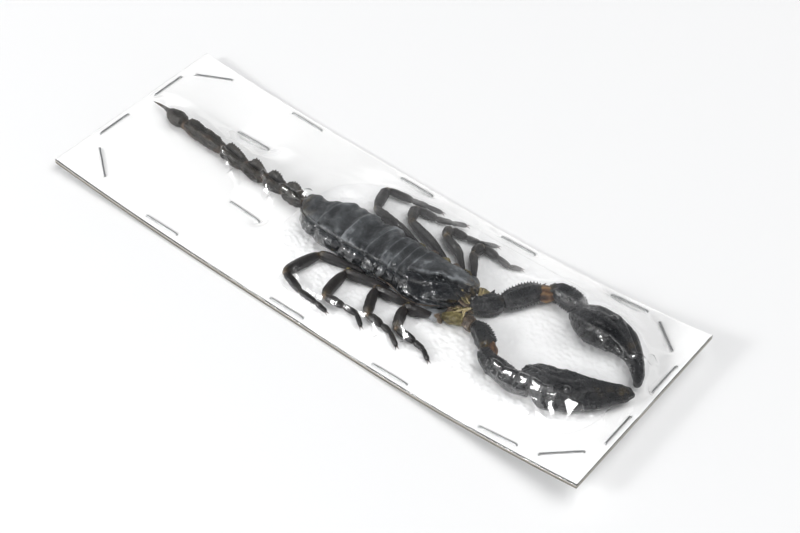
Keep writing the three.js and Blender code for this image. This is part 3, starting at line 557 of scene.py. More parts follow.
for i, (x0, x1) in enumerate(zip(RING_EDGES[:-1], RING_EDGES[1:])):
    ring = 7 - i
    a, b = x0 - (0.7 if i else 0.0), x1 - 0.05
    n = int((b - a) / 0.19) + 2
    Xs = np.linspace(a, b, n)
    t = (Xs - a) / (b - a)
    P, N, sec = body_rings(np.maximum(Xs, 73.35), np.zeros(n))
    P[..., 0] = Xs[:, None]
    P = body_relief(P, N, sec, t, b - a, 40 + ring)
    P[..., 0] += arch(P[..., 0], sec[..., 0]) * step01(sec[..., 1], 0.3, 0.8)
    if i == 0:   # the last ring's hind end is drawn in, with a ragged rim
        P[..., 0] += 0.5 * fbm(P * [0.0, 1, 1], 2.0, 2, 77) * (1 - t[:, None]) ** 2
    # the flank is marked for gloss and for painted shade in its colour
    gloss_and_shade = np.zeros((n + 8, SIDES))
    gloss_and_shade[4:-4] = np.clip(sec[..., 3], 0, 1)
    piece(f"body_ring_{ring}", [close_rings(P)], [M_BODY], [f"body_segment_{ring}"], body_tan, True, gloss_and_shade=np.r_[gloss_and_shade.ravel(), 0, 0])

# carapace: the far side keeps its flat back, and the near side has fallen in along a slanting ridge
n = 98
Xs = np.linspace(117.9, 134.2, n)
t = (Xs - Xs[0]) / (Xs[-1] - Xs[0])
P, N, sec = body_rings(Xs, step01(t, 0.0, 0.2))
u, v = sec[..., 0], sec[..., 1]
R = at(P[..., 0], P[..., 1], P[..., 2])
tt = t[:, None]
upper = step01(v, 0.45, 0.72)
X, Y = P[..., 0], P[..., 1]
ridge = np.interp(X, [116, 117.7, 124.2, 130.8, 133.6, 136], [29.4, 30.4, 33.9, 37.2, 38.2, 38.8]) + 0.30 * fbm(R * [1, 0, 0], 1.7, 2, 91)
off = ridge - Y                                   # how far on the near side of the ridge
d = -upper * 1.10 * step01(off, 0.0, 0.8) * (0.4 + 0.6 * step01(tt, 0.1, 0.35))
d -= upper * 0.75 * np.exp(-((off - 0.75) / 0.36) ** 2)
d += upper * 0.18 * np.exp(-((off + 0.45) / 0.5) ** 2)


def lump(cx, cy, rx, ry, turn):
    c, q = math.cos(turn), math.sin(turn)
    a, b = ((X - cx) * c + (Y - cy) * q) / rx, (-(X - cx) * q + (Y - cy) * c) / ry
    return np.exp(-(a * a + b * b) ** 1.6)


d += upper * (0.85 * lump(127.6, 32.3, 4.6, 1.35, 0.47) + 1.10 * lump(129.6, 29.3, 4.2, 1.5, 0.42) + 0.75 * lump(121.0, 29.6, 2.6, 2.1, 0.3) + 0.5 * lump(123.5, 26.6, 3.4, 1.4, 0.15) - 0.45 * lump(125.6, 30.4, 4.6, 0.5, 0.5) - 0.35 * lump(124.6, 28.2, 1.0, 1.6, 0.2))
d += upper * 0.55 * lump(126.8, 35.6, 1.5, 1.1, 0.3)                                   # eye mound
d -= upper * 0.30 * np.exp(-((Y - 35.6 - 0.06 * (X - 127)) / 0.35) ** 2) * step01(tt, 0.6, 0.75)
d += upper * (0.40 * fbm(R * [0.5, 0.8, 0.6], 3.0, 2, 63) + 0.09 * fbm(R, 1.1, 3, 65))
near = step01(off, 0.2, 0.8)
d += near * step01(v, 0.15, 0.4) * (0.26 * (1 - 2 * np.abs(noise(R, 1.6, 68))) + 0.08 * bumps(R, 0.6, 90))
d += upper * (0.22 * np.exp(-((tt * 16.3) / 0.9) ** 2) - 0.08 * np.exp(-((tt * 16.3) / 0.2) ** 2))
P = P + N * d[..., None]
notch = np.clip(1 - ((u - 0.05) / 0.42) ** 2, 0, 1)
P[..., 0] -= step01(tt, 0.72, 1.0) * (2.4 * notch * step01(v, 0.3, 0.7) + 1.4 * step01(0.5 - v, 0, 0.3))
P[..., 0] += 1.1 * step01(tt, 0.8, 1.0) * np.exp(-((np.abs(u) - 0.62) / 0.25) ** 2) * step01(v, 0.3, 0.6)
P[..., 0] += 0.35 * step01(tt, 0.85, 1.0) * fbm(P * [0, 1, 1], 1.1, 2, 97)
# the near side of the ridge and the flank: glossier, with painted shade in their colour
gloss_and_shade = np.zeros((n + 8, SIDES))
gloss_and_shade[4:-4] = np.clip(near * upper * 0.9 + sec[..., 3] * 0.5, 0, 1)
gloss_and_shade = [gloss_and_shade.ravel(), [0, 0]]
parts = [close_rings(P)]


def back_point(X, uu):
    """A point on the carapace's outline."""
    mid, w, lo, hi = (float(steady(BODY[:, 0], BODY[:, k], np.array([X]))[0]) for k in (1, 2, 3, 4))
    j = int(np.argmin(np.abs(SEC_C[:, 0] - uu) + 10 * (SEC_C[:, 1] < 0.4)))
    return np.array([X, mid + SEC_C[j, 0] * w, lo + SEC_C[j, 1] * (hi - lo)])


def prosoma_tan(X, Y, h, co):
    far = step01(Y, 42.2, 43.4) * step01(132 - X, 0, 4) * step01(7.6 - h, 0, 1.2) * 0.7
    front = step01(X, 132.9, 134.2) * step01(fbm(co, 1.0, 3, 9), 0.1, 0.5) * 0.45
    return np.maximum(far * step01(fbm(co, 1.6, 2, 5), -0.3, 0.3), front)


for k in (-1, 1):
    parts.append((*knob(at(126.8, 35.6 + 0.75 * k, 9.75), (0.42, 0.34, 0.42), 16), 1))
    for g in range(3):
        e = back_point(132.2 - 0.85 * g, 0.80 * k)
        parts.append((*knob(at(e[0], e[1], e[2] + 0.1), (0.26, 0.26, 0.26), 12), 1))
# coxae of the legs, packed side by side under the flank
for s, yy in ((-1, 27.2), (1, 43.2)):
    for g in range(4):
        x = 116.5 + 5.0 * g
        parts.append(tube([[x - 2.2, yy - 0.3 * s, 3.0, 1.6, 1.1], [x + 0.6, yy + 0.9 * s, 3.2, 2.1, 1.5], [x + 3.0, yy - 1.0 * s, 3.3, 1.7, 1.2]], 0.35, 24, (0.9, 0.9),
                          relief=lambda S, th, Pp: 0.16 * fbm(Pp, 1.2, 3, 71)))
for q in parts[1:]:
    gloss_and_shade.append(np.zeros(len(q[0])))
piece("prosoma_shell", parts, [M_BODY, M_EYE], ["prosoma"], prosoma_tan, True, gloss_and_shade=np.concatenate(gloss_and_shade))

# ---------------------------------------------------------------- tail
def rows(th, angles, width):
    """How near an angle is to a keel."""
    out = np.zeros_like(th)
    for g in angles:
        d = np.angle(np.exp(1j * (th - math.radians(g))))
        out = np.maximum(out, np.exp(-(d / width) ** 2))
    return out


def grains(S, pitch, sharp=2.0, phase=0.0):
    return np.clip(np.cos(2 * math.pi * (S / pitch + phase)), 0, 1) ** sharp


def tail_section(u, th):
    return 1.0 - 0.10 * np.exp(-((np.sin(th) - 1) / 0.2) ** 2) + 0.02 * np.cos(4 * th)


def tail_relief(length, peak, seed, at_u=0.68, spread_u=0.28):
    """Four-sided segments: two tall keels along the back with a hollow between them, and lower ones at the sides."""
    def f(S, th, P):
        u = S / length + 0.05 * noise(P, 3.0, seed + 7)
        hump = np.where(u < at_u, np.exp(-(np.abs(u - at_u) / (spread_u * 1.7)) ** 2.4), np.exp(-((u - at_u) / (spread_u * 0.95)) ** 4))
        rise = 0.10 + peak * hump
        saw = 0.82 + 0.28 * grains(S + 0.1 * noise(P, 1.0, seed), 0.9, 1.5)
        dorsal = rows(th, (56, 124), 0.24) * rise * saw
        hollow = -(0.15 + 0.55 * peak * step01(u, 0.15, 0.5) * (1 - step01(u, 0.8, 0.95))) * rows(th, (90,), 0.26)
        flank = -(0.70 * step01(u, 0.2, 0.45) * (1 - step01(u, 0.7, 0.9))) * rows(th, (12, 168), 0.26)
        lateral = rows(th, (24, 156), 0.13) * (0.22 + 0.12 * grains(S, 0.85, 1.5, 0.3)) + rows(th, (-32, 212), 0.14) * (0.20 + 0.10 * grains(S, 0.85, 1.5))
        ventral = rows(th, (-65, -115), 0.13) * (0.12 + 0.08 * grains(S, 0.8, 1.5, 0.5))
        waist = -0.30 * np.exp(-((u - 0.03) / 0.09) ** 2) - 0.12 * np.exp(-((u - 1.0) / 0.07) ** 2)
        return dorsal + hollow + flank + lateral + ventral + waist + 0.34 * fbm(P, 2.4, 3, seed) + 0.09 * bumps(P, 0.8, seed)
    return f


TAIL = {
    "tail_segment_1": ([[72.7, 35.9, 4.0, 1.8, 1.8], [70.6, 36.2, 3.9, 2.4, 2.4], [67.0, 36.8, 3.6, 2.5, 2.6], [64.5, 37.1, 3.4, 2.3, 2.4]], 1.75),
    "tail_segment_2": ([[63.6, 37.1, 3.0, 2.0, 2.1], [60.5, 37.1, 3.1, 2.45, 2.4], [57.8, 37.1, 3.2, 2.5, 2.6], [56.5, 37.1, 3.2, 2.3, 2.4]], 1.75),
    "tail_segment_3": ([[55.6, 37.1, 2.9, 1.95, 2.0], [52.5, 37.1, 3.0, 2.35, 2.3], [49.6, 37.1, 3.1, 2.45, 2.5], [48.3, 37.1, 3.1, 2.2, 2.3]], 1.80),
    "tail_segment_4": ([[47.3, 37.15, 2.8, 1.9, 2.0], [43.5, 37.4, 2.9, 2.3, 2.3], [39.6, 37.8, 3.0, 2.4, 2.4], [37.6, 38.0, 2.9, 2.2, 2.2]], 1.35),
    "tail_segment_5": ([[36.5, 38.0, 2.8, 2.0, 2.0], [32, 38.2, 2.9, 2.4, 2.4], [25, 38.4, 2.9, 2.4, 2.4], [22.2, 38.3, 2.85, 2.2, 2.2], [21.0, 38.2, 2.7, 1.8, 1.9]], 0.55),
}


def tail_tan(X, Y, h, co):
    joints = np.zeros_like(X)
    for x in (73, 64.0, 56.0, 47.8, 37.0, 20.7):
        joints = np.maximum(joints, np.exp(-((X - x) / 0.7) ** 2))
    return joints * 0.55 * step01(fbm(co, 1.2, 2, 6), -0.4, 0.5) + 0.30 * step01(fbm(co, 2.5, 2, 16), 0.3, 0.9)


for g, (name, (st, peak)) in enumerate(TAIL.items()):
    length = sum(math.dist(a[:3], b[:3]) for a, b in zip(st, st[1:]))
    relief = tail_relief(length, peak, 110 + g) if g < 4 else tail_relief(length, peak, 110 + g, 0.52, 0.55)
    main = tube(st, 0.15, 72, (0.35, 0.3), tail_section, relief)
    # the neck that joins it to the segment behind it
    e, f = np.array(st[-1]), np.array(st[-2])
    d = (e - f)[:3] / np.linalg.norm((e - f)[:3])
    neck = [[*(e[:3] - d * 0.5), 1.6, 1.75], [*(e[:3] + d * 1.2), 1.5, 1.6]]
    piece(name + "_ring", [main, tube(neck, 0.2, 32, (0.2, 0.2), relief=lambda S, th, Pp: 0.12 * fbm(Pp, 0.8, 2, 5))], [M_TAIL], [name], tail_tan, True)

sting = [[20.2, 38.2, 2.7, 1.3, 1.4], [18.7, 38.3, 2.95, 2.4, 2.35], [16.3, 38.4, 3.0, 2.6, 2.55], [14.0, 38.8, 2.9, 1.95, 2.0], [12.2, 39.2, 2.5, 0.95, 1.0], [10.4, 39.55, 2.3, 0.6, 0.65],
         [8.0, 39.75, 2.0, 0.42, 0.45], [6.2, 39.85, 1.65, 0.26, 0.28], [4.9, 39.9, 1.4, 0.12, 0.12]]


def sting_relief(S, th, P):
    fade = step01(8.5 - S, 0, 3)
    return fade * (0.12 * bumps(P, 0.75, 201) + 0.22 * fbm(P, 1.8, 3, 202) + 0.14 * rows(th, (-90, -50, -130, 20, 160), 0.15)) - 0.35 * rows(th, (90,), 0.34) * fade * step01(S, 1.5, 3)


piece("sting_bulb", [tube(sting, 0.15, 56, (0.4, 0.25), relief=sting_relief)], [M_TAIL], ["telson"],
      lambda X, Y, h, co: 0.45 * step01(10.2 - X, 0, 3) + 0.4 * step01(X, 19.6, 20.6), True)

# ---------------------------------------------------------------- legs
LEGS = {   # base, waypoint, knee, end of patella, end of tibia, end of basitarsus, tip
    "right_leg_4": [(105, 26.2, 2.9), (97.4, 24.4, 3.3), (90.9, 22.7, 3.7), (87.4, 10.3, 3.5), (95.4, 7.9, 3.0), (101.5, 7.6, 2.8), (107.0, 6.95, 2.5)],
    "right_leg_3": [(116.5, 26.1, 2.9), (109.0, 24.0, 3.4), (101.5, 22.1, 3.7), (102.5, 10.7, 3.45), (108.9, 11.7, 3.0), (113.8, 12.0, 2.8), (118.2, 9.0, 2.5)],
    "right_leg_2": [(126.2, 26.1, 3.0), (119.6, 23.9, 3.6), (112.5, 22.7, 3.8), (116.6, 13.5, 3.4), (122.2, 13.3, 3.0), (125.6, 12.9, 2.85), (131.0, 9.7, 2.5)],
    "right_leg_1": [(132.0, 25.7, 3.3), (128.0, 23.8, 3.8), (123.6, 22.6, 3.8), (126.6, 14.8, 3.4), (133.4, 14.3, 3.0), (137.2, 13.7, 2.9), (141.4, 11.2, 2.5)],
    "left_leg_4": [(113, 44.7, 3.1), (103, 47.0, 3.9), (91.7, 48.5, 4.2), (88.5, 57.9, 3.5), (97.0, 59.7, 3.0), (102.2, 61.0, 2.8), (108.0, 62.1, 2.5)],
    "left_leg_3": [(121.5, 45.7, 3.2), (114, 48.5, 3.85), (103.3, 51.3, 4.2), (100.5, 57.4, 3.5), (107.6, 58.3, 3.0), (112.3, 60.2, 2.8), (117.0, 62.8, 2.5)],
    "left_leg_2": [(127.2, 46.2, 3.4), (122.4, 50.4, 4.0), (115.5, 53.0, 4.2), (114.2, 57.0, 3.5), (119.6, 58.0, 3.0), (123.8, 59.0, 2.8), (129.7, 61.8, 2.5)],
    "left_leg_1": [(131.7, 45.8, 3.5), (129.2, 49.1, 4.1), (126.2, 52.4, 4.3), (126.3, 57.5, 3.5), (131.8, 57.4, 3.0), (136.8, 56.6, 2.8), (141.1, 58.4, 2.5)],
}


def leg_relief(seed, keel=0.16, length=10.0, teeth=0.10):
    def f(S, th, P):
        return rows(th, (90, -90), 0.22) * (keel + teeth * grains(S, 0.6, 1.2)) + rows(th, (35, 145), 0.2) * keel * 0.45 - 0.10 * rows(th, (0, 180), 0.35) + 0.08 * fbm(P, 1.1, 3, seed)
    return f


def between(A, B, widths, heights, bend=(0.0, 0.0)):
    """Stations from A to B; widths and heights are at 0, 0.12, 0.45, 0.85 and 1 of the way."""
    A, B = np.array(A, float), np.array(B, float)
    d = B - A
    n = np.array([-d[1], d[0]]) / max(1e-6, np.hypot(d[0], d[1]))
    out = []
    for f, w, k in zip((0, 0.12, 0.45, 0.85, 1), widths, heights):
        p = A + d * f
        g = math.sin(math.pi * f)
        out.append([p[0] + n[0] * bend[0] * g, p[1] + n[1] * bend[0] * g, p[2] + bend[1] * g, w, k])
    return out


rng = np.random.default_rng(7)
for g, (name, J) in enumerate(LEGS.items()):
    J = [np.array(j, float) for j in J]
    s = -1 if name.startswith("right") else 1
    seed = 300 + 10 * g
    base, way, knee, pe, te, be, tip = J
    dk = unit(pe - knee)
    femur = [[*base, 0.8, 0.9], [*(0.5 * (base + way)), 1.05, 1.4], [*way, 1.25, 1.85], [*(0.55 * knee + 0.45 * way), 1.35, 1.95], [*(0.88 * knee + 0.12 * way), 1.25, 1.7], [*knee, 1.0, 1.3]]
    parts = [tube(femur, 0.24, 36, (0.4, 0.6), relief=leg_relief(seed, 0.16))]
    parts.append(tube(between(knee + dk * 0.5, pe - dk * 0.4, (0.95, 1.35, 1.75, 1.7, 1.2), (1.0, 1.45, 1.9, 1.8, 1.2), (0.25 * s, 0.1)), 0.24, 36, (0.5, 0.6), relief=leg_relief(seed + 1, 0.18)))
    dt = unit(te - pe)
    parts.append(tube(between(pe + dt * 0.7, te - dt * 0.15, (0.9, 1.2, 1.33, 1.2, 0.95), (0.9, 1.15, 1.25, 1.12, 0.9), (0.1, 0)), 0.2, 32, (0.4, 0.4), relief=leg_relief(seed + 2, 0.09)))
    db = unit(be - te)
    parts.append(tube(between(te + db * 0.3, be - db * 0.1, (0.72, 0.92, 0.98, 0.9, 0.75), (0.7, 0.9, 0.95, 0.88, 0.72)), 0.2, 28, (0.35, 0.35), relief=leg_relief(seed + 3, 0.06)))
    dp = unit(tip - be)
    parts.append(tube(between(be + dp * 0.2, tip - dp * 0.9, (0.6, 0.75, 0.82, 0.76, 0.58), (0.58, 0.74, 0.8, 0.74, 0.56)), 0.2, 28, (0.3, 0.3), relief=leg_relief(seed + 4, 0.05)))
    # soft joints, tan where the skin shows
    for c, r in ((knee + dk * 0.15, (1.0, 1.0, 1.15)), (pe + dt * 0.1, (0.85, 0.85, 0.95)), (te, (0.62, 0.62, 0.62)), (be, (0.5, 0.5, 0.52))):
        parts.append((*knob(at(*c), r, 14, seed, 0.12), 1))
    # paired claws and the spines on the underside
    nrm = np.array([-dp[1], dp[0], 0])
    for k in (-1, 1):
        b0 = tip - dp * 1.0 + nrm * 0.22 * k
        parts.append((*cone(at(*b0), at(*(tip + dp * 0.55 + nrm * 0.55 * k - np.array([0, 0, 0.55]))), 0.2, 8, 0.22 * s), 2))
    parts.append((*cone(at(*(tip - dp * 0.9)), at(*(tip + dp * 0.1 - np.array([0, 0, 0.35]))), 0.14, 8), 2))
    for (a, b, r) in ((pe, te, 0.95), (te, be, 0.7), (be, tip - dp * 0.6, 0.55)):
        d, L = unit(b - a), np.linalg.norm(b - a)
        nn = np.array([-d[1], d[0], 0])
        for f in np.arange(0.25, 0.95, 0.9 / max(3, L)):
            for k in (-1, 1):
                o = a + d * L * (f + rng.uniform(-0.03, 0.03)) + nn * r * 0.8 * k - np.array([0, 0, r * 0.25])
                o2 = o + d * rng.uniform(0.35, 0.6) + nn * k * rng.uniform(0.35, 0.6) - np.array([0, 0, rng.uniform(0.0, 0.3)])
                parts.append((*cone(at(*o), at(*o2), 0.09, 6, 0, 3), 2))
    piece(name + "_limb", parts, [M_LIMB, M_BROWN, M_TARSUS], [name],
          (lambda X, Y, h, co, K=knee, E=pe: 0.75 * np.exp(-(((X - K[0]) ** 2 + (Y - K[1]) ** 2) / 1.3)) * step01(fbm(co, 0.9, 2, 4), -0.3, 0.4)
           + 0.35 * np.exp(-(((X - E[0]) ** 2 + (Y - E[1]) ** 2) / 1.0))), True)

# ---------------------------------------------------------------- pedipalps
def palp_relief(seed, keels, teeth, pitch=1.05, keel=0.22, wide=0.15, warp=0.14):
    """Keels along a joint of the arm, those in teeth carrying rows of pointed grains."""
    def f(S, th, P):
        d = rows(th, keels, wide) * keel + 0.05 * bumps(P, 0.8, seed + 4)
        for k, (ang, size) in enumerate(teeth):
            d = d + rows(th, (ang,), 0.12) * size * (0.25 + grains(S + 0.12 * noise(P, 1.2, seed), pitch, 1.4, 0.37 * k))
        return d - 0.10 * rows(th, [x + 30 for x in keels], 0.25) + warp * fbm(P, 2.4, 3, seed) + 0.05 * fbm(P, 0.7, 2, seed + 2)
    return f


def palp_tan(points):
    def f(X, Y, h, co):
        out = np.zeros_like(X)
        for (x, y, r, k) in points:
            out = np.maximum(out, k * np.exp(-(((X - x) ** 2 + (Y - y) ** 2) / r ** 2)))
        return out * step01(fbm(co, 1.0, 2, 14), -0.6, 0.3)
    return f


KEELS = (55, 125, 5, 175, -55, -125)
# near arm
parts = [tube([[134.9, 26.9, 4.3, 1.0, 1.3], [136.4, 27.2, 4.4, 1.6, 1.8], [138.4, 28.0, 4.6, 1.9, 2.0], [140.2, 28.6, 4.7, 1.6, 1.8]], 0.18, 44, (0.8, 0.5),
              relief=lambda S, th, P: 0.16 * fbm(P, 1.6, 3, 401) + 0.30 * np.abs(np.cos(4 * th + 0.8 * S + 0.8 * noise(P, 1.6, 405))) ** 0.7 * (0.6 + 0.4 * noise(P, 1.4, 403)))]
piece("right_palp_coxa_lobe", parts, [M_GOLD], ["right_palp_coxa"], None, True)
piece("right_palp_trochanter_ring", [tube([[140.7, 29.2, 4.3, 1.6, 1.8], [142.2, 29.2, 4.5, 2.1, 2.2], [143.8, 28.8, 4.6, 1.9, 2.1]], 0.16, 48, (0.6, 0.6), relief=palp_relief(410, KEELS, [(60, 0.2), (150, 0.2)], 0.9, 0.18, 0.15, 0.24))],
      [M_BROWN], ["right_palp_trochanter"], None, True)
femur = tube([[144.6, 28.9, 4.8, 1.7, 2.1], [145.8, 28.6, 4.9, 2.3, 2.6], [147.6, 27.7, 5.0, 2.7, 2.85], [150.0, 26.0, 5.1, 2.85, 2.9], [151.4, 24.5, 5.2, 2.6, 2.7], [152.1, 23.5, 5.2, 2.1, 2.2]], 0.12, 88, (0.6, 0.5),
             relief=palp_relief(420, (80, 140, 175, -55, -125), [(20, 0.55), (-5, 0.35), (85, 0.22), (195, 0.22)], 0.80, 0.22, 0.12, 0.2))
parts = [femur]
parts.append(cone(at(151.9, 26.6, 6.0), at(153.7, 27.2, 6.4), 0.75, 10))
parts.append(cone(at(150.7, 27.6, 6.0), at(151.9, 28.5, 6.4), 0.5, 10))
piece("right_palp_femur_joint", parts, [M_CLAW], ["right_palp_femur"], palp_tan([(152.2, 22.8, 1.3, 0.6)]), True)
piece("right_palp_elbow_skin", [tube([[151.6, 24.6, 5.0, 1.5, 1.7], [153.0, 24.6, 5.1, 1.65, 1.9], [154.6, 23.3, 5.2, 1.5, 1.7], [155.8, 21.8, 5.3, 1.3, 1.5]], 0.18, 36, (0.6, 0.6), relief=lambda S, th, P: 0.22 * fbm(P, 1.9, 3, 431) + 0.13 * np.cos(6 * th + 0.5 * S + 2.0 * noise(P, 2.4, 432)))],
      [M_ORANGE], [], None, True)
patella = tube([[153.0, 21.6, 5.3, 1.8, 2.1], [154.0, 20.8, 5.4, 2.3, 2.5], [156.2, 19.9, 5.5, 2.8, 2.9], [159.4, 18.9, 5.6, 3.1, 3.05], [164.0, 18.0, 5.6, 3.3, 3.1], [168.0, 17.7, 5.6, 3.15, 2.9], [170.6, 17.7, 5.6, 2.5, 2.5], [171.4, 17.7, 5.6, 2.0, 2.1]], 0.14, 88, (0.8, 0.6),
               relief=palp_relief(440, (60, 118, 160, -60, -120), [(34, 0.22), (10, 0.20)], 1.15, 0.24, 0.13, 0.30))
piece("right_palp_patella_joint", [patella], [M_CLAW], ["right_palp_patella"], palp_tan([(171.2, 18.6, 1.2, 0.45)]), True)


def hand_section(flare):
    def f(u, th):
        return 1.0 + 0.03 * np.cos(5 * th + 1) * np.clip(1 - u, 0, 1) - flare * 0.05 * np.exp(-((np.sin(th) - 1) / 0.2) ** 2)
    return f


def hand_relief(seed, keels, grain_side):
    def f(S, th, P):
        fade = step01(22.0 - S, 0, 9)
        d = rows(th, keels, 0.11) * 0.42 * fade + rows(th, (grain_side,), 0.11) * 0.34 * grains(S + 0.15 * noise(P, 1.5, seed), 1.05, 1.4) * step01(24 - S, 0, 5)
        ridge = 1 - 2 * np.abs(noise(P * [0.5, 1.0, 0.8], 3.4, seed + 6)) ** 0.8
        d = d + 0.30 * fbm(P * [0.7, 1.0, 1.0], 4.2, 2, seed) * fade + 0.26 * ridge * fade + 0.13 * fbm(P, 1.4, 3, seed + 1)
        d = d + 0.20 * bumps(P, 0.85, seed + 2) * (0.35 + 0.65 * np.maximum(rows(th, (grain_side,), 0.6), rows(th, (360 - grain_side,), 0.6))) * (0.3 + 0.7 * fade)
        return d
    return f


def finger_teeth(stations, sidewise, z, count, seed, size=0.34):
    """A row of small teeth along a finger's inner edge."""
    st = np.array(stations, float)
    s = np.r_[0, np.cumsum(np.linalg.norm(np.diff(st[:, :3], axis=0), axis=1))]
    q = np.linspace(s[-1] * 0.08, s[-1] * 0.95, count)
    c, ab = smooth(s, st[:, :3], q), steady(s, st[:, 3:5], q)
    d = unit(np.gradient(c, q, axis=0))
    n = unit(np.stack([-d[:, 1], d[:, 0], 0 * q], -1)) * sidewise
    r = np.random.default_rng(seed)
    out = []
    for k in range(count):
        grow = size * (1.5 if k % 5 == 2 else 1.0) * r.uniform(0.8, 1.1)
        b0 = c[k] + n[k] * (ab[k, 0] - 0.12) + np.array([0, 0, z * ab[k, 1]])
        out.append(cone(at(*b0), at(*(b0 + n[k] * grow + d[k] * 0.08)), grow * 0.62, 8, 0, 4))
    return out


R_HAND = [[167.6, 22.6, 5.9, 2.2, 2.2], [168.9, 22.2, 6.1, 3.7, 3.2], [171.6, 21.7, 6.4, 4.9, 4.1], [175.5, 21.3, 6.7, 5.8, 4.7], [179.5, 22.2, 6.7, 6.0, 4.7], [182.3, 24.5, 6.3, 5.0, 4.3], [184.9, 27.5, 5.6, 3.3, 3.5],
          [187.9, 30.1, 4.9, 2.3, 2.6], [191.2, 32.7, 4.1, 1.85, 2.0], [193.6, 33.9, 3.6, 1.5, 1.6], [194.9, 34.0, 3.4, 1.0, 1.1]]
R_FINGER = [[180.4, 18.6, 4.9, 1.9, 2.3], [182.2, 19.4, 5.2, 2.5, 2.8], [184.6, 21.3, 5.2, 2.7, 2.7], [187.4, 24.1, 4.8, 2.4, 2.4], [190.2, 27.6, 4.2, 2.05, 2.0], [192.6, 30.6, 3.7, 1.75, 1.7], [194.2, 32.2, 3.5, 1.3, 1.3], [194.8, 33.0, 3.4, 0.9, 0.9]]
parts = [tube(R_HAND, 0.2, 96, (1.6, 0.9), hand_section(1.0), hand_relief(450, (52, 132, 92, -60, -120), 218))]
parts += [(*p, 1) for p in finger_teeth(R_HAND[6:], -1, 0.25, 17, 3, 0.32)]
# the rounded lobe at the wrist, on the thumb side of the palm
parts.append(tube([[173.8, 17.0, 5.4, 1.2, 1.5], [175.2, 16.7, 5.6, 2.0, 2.2], [177.2, 16.6, 5.6, 2.5, 2.6], [179.4, 17.0, 5.4, 2.1, 2.3], [181.4, 18.2, 5.2, 1.5, 1.8]], 0.2, 56, (0.9, 0.9), relief=lambda S, th, P: 0.16 * fbm(P, 2.4, 3, 455) + 0.08 * rows(th, (70, 110), 0.14)))
hand_tan = palp_tan([(188.0, 27.0, 1.4, 0.15), (190.5, 29.4, 1.3, 0.2), (193.2, 32.2, 1.4, 0.3)])
piece("right_palp_hand_claw", parts, [M_CLAW, M_TOOTH], ["right_palp_hand"], hand_tan, True)
parts = [tube(R_FINGER, 0.18, 68, (1.0, 0.9), None, lambda S, th, P: 0.16 * rows(th, (60, 120, -90), 0.14) + 0.14 * fbm(P, 2.2, 3, 461) + 0.05 * bumps(P, 0.8, 462))]
parts += [(*p, 1) for p in finger_teeth(R_FINGER[2:], 1, 0.25, 18, 5, 0.3)]
piece("right_palp_finger_claw", parts, [M_CLAW, M_TOOTH], ["right_palp_finger"], palp_tan([(188.8, 27.0, 1.3, 0.15), (192.8, 31.8, 1.4, 0.3)]), True)

# far arm
parts = [tube([[136.8, 42.3, 3.6, 0.9, 1.1], [138.0, 42.0, 3.9, 1.3, 1.5], [139.6, 41.1, 4.3, 1.1, 1.4]], 0.2, 36, (0.6, 0.6), relief=lambda S, th, P: 0.22 * fbm(P, 1.1, 3, 471))]
piece("left_palp_coxa_lobe", parts, [M_GOLD], ["left_palp_coxa"], None, True)
parts = [tube([[139.3, 34.6, 4.7, 1.7, 1.9], [140.6, 36.4, 4.8, 2.7, 2.6], [142.8, 38.6, 4.9, 3.2, 2.9], [144.6, 40.3, 5.1, 2.8, 2.7], [145.3, 41.1, 5.1, 2.2, 2.2]], 0.15, 72, (0.7, 0.4), relief=palp_relief(480, (90, 160, -60, -120), [(50, 0.35), (120, 0.30), (215, 0.40), (185, 0.25)], 0.9, 0.2, 0.14, 0.34)),
         cone(at(141.6, 40.6, 6.4), at(141.6, 42.3, 7.6), 0.95, 10), cone(at(144.2, 37.9, 6.6), at(145.2, 37.4, 7.3), 0.4, 8)]
piece("left_palp_trochanter_ring", parts, [M_CLAW], ["left_palp_trochanter"], palp_tan([(145.3, 41.4, 1.0, 0.5)]), True)
femur = tube([[145.4, 42.0, 5.2, 1.9, 2.2], [146.2, 43.4, 5.3, 2.7, 2.9], [147.6, 45.8, 5.5, 3.1, 3.2], [149.3, 48.6, 5.5, 3.1, 3.2], [150.8, 50.9, 5.5, 2.6, 2.8], [151.6, 51.9, 5.5, 2.0, 2.2]], 0.12, 96, (0.6, 0.6),
             relief=palp_relief(490, (90, 140, -60, -120), [(45, 0.62), (20, 0.30), (206, 0.60), (180, 0.25)], 0.92, 0.2, 0.12, 0.24))
piece("left_palp_femur_joint", [femur, cone(at(151.2, 53.0, 6.6), at(151.8, 54.2, 7.2), 0.45, 8)], [M_CLAW], ["left_palp_femur"], palp_tan([(152.0, 51.9, 1.1, 0.6)]), True)
piece("left_palp_elbow_skin", [tube([[150.9, 50.6, 5.2, 1.7, 1.9], [152.4, 51.7, 5.2, 2.4, 2.4], [153.9, 52.2, 5.3, 2.5, 2.5], [155.6, 53.0, 5.4, 1.9, 2.0]], 0.18, 44, (0.6, 0.6), relief=lambda S, th, P: 0.24 * fbm(P, 2.1, 3, 495) + 0.14 * np.cos(7 * th + 0.5 * S + 2.0 * noise(P, 2.4, 496)))],
      [M_ORANGE], [], None, True)
patella = tube([[154.2, 53.2, 5.6, 1.9, 2.2], [155.2, 53.8, 5.7, 2.6, 2.7], [156.8, 54.2, 5.8, 3.1, 3.0], [159.8, 54.3, 5.9, 3.4, 3.2], [163.0, 53.8, 5.9, 3.1, 3.0], [165.4, 52.9, 6.0, 2.3, 2.4], [166.4, 52.4, 6.0, 1.9, 2.0]], 0.14, 92, (0.7, 0.7),
               relief=palp_relief(500, (65, 120, 160, -60, -120), [(38, 0.22), (214, 0.55), (195, 0.25)], 1.0, 0.24, 0.13, 0.26))
piece("left_palp_patella_joint", [patella], [M_CLAW], ["left_palp_patella"], palp_tan([(154.0, 52.6, 1.2, 0.4)]), True)
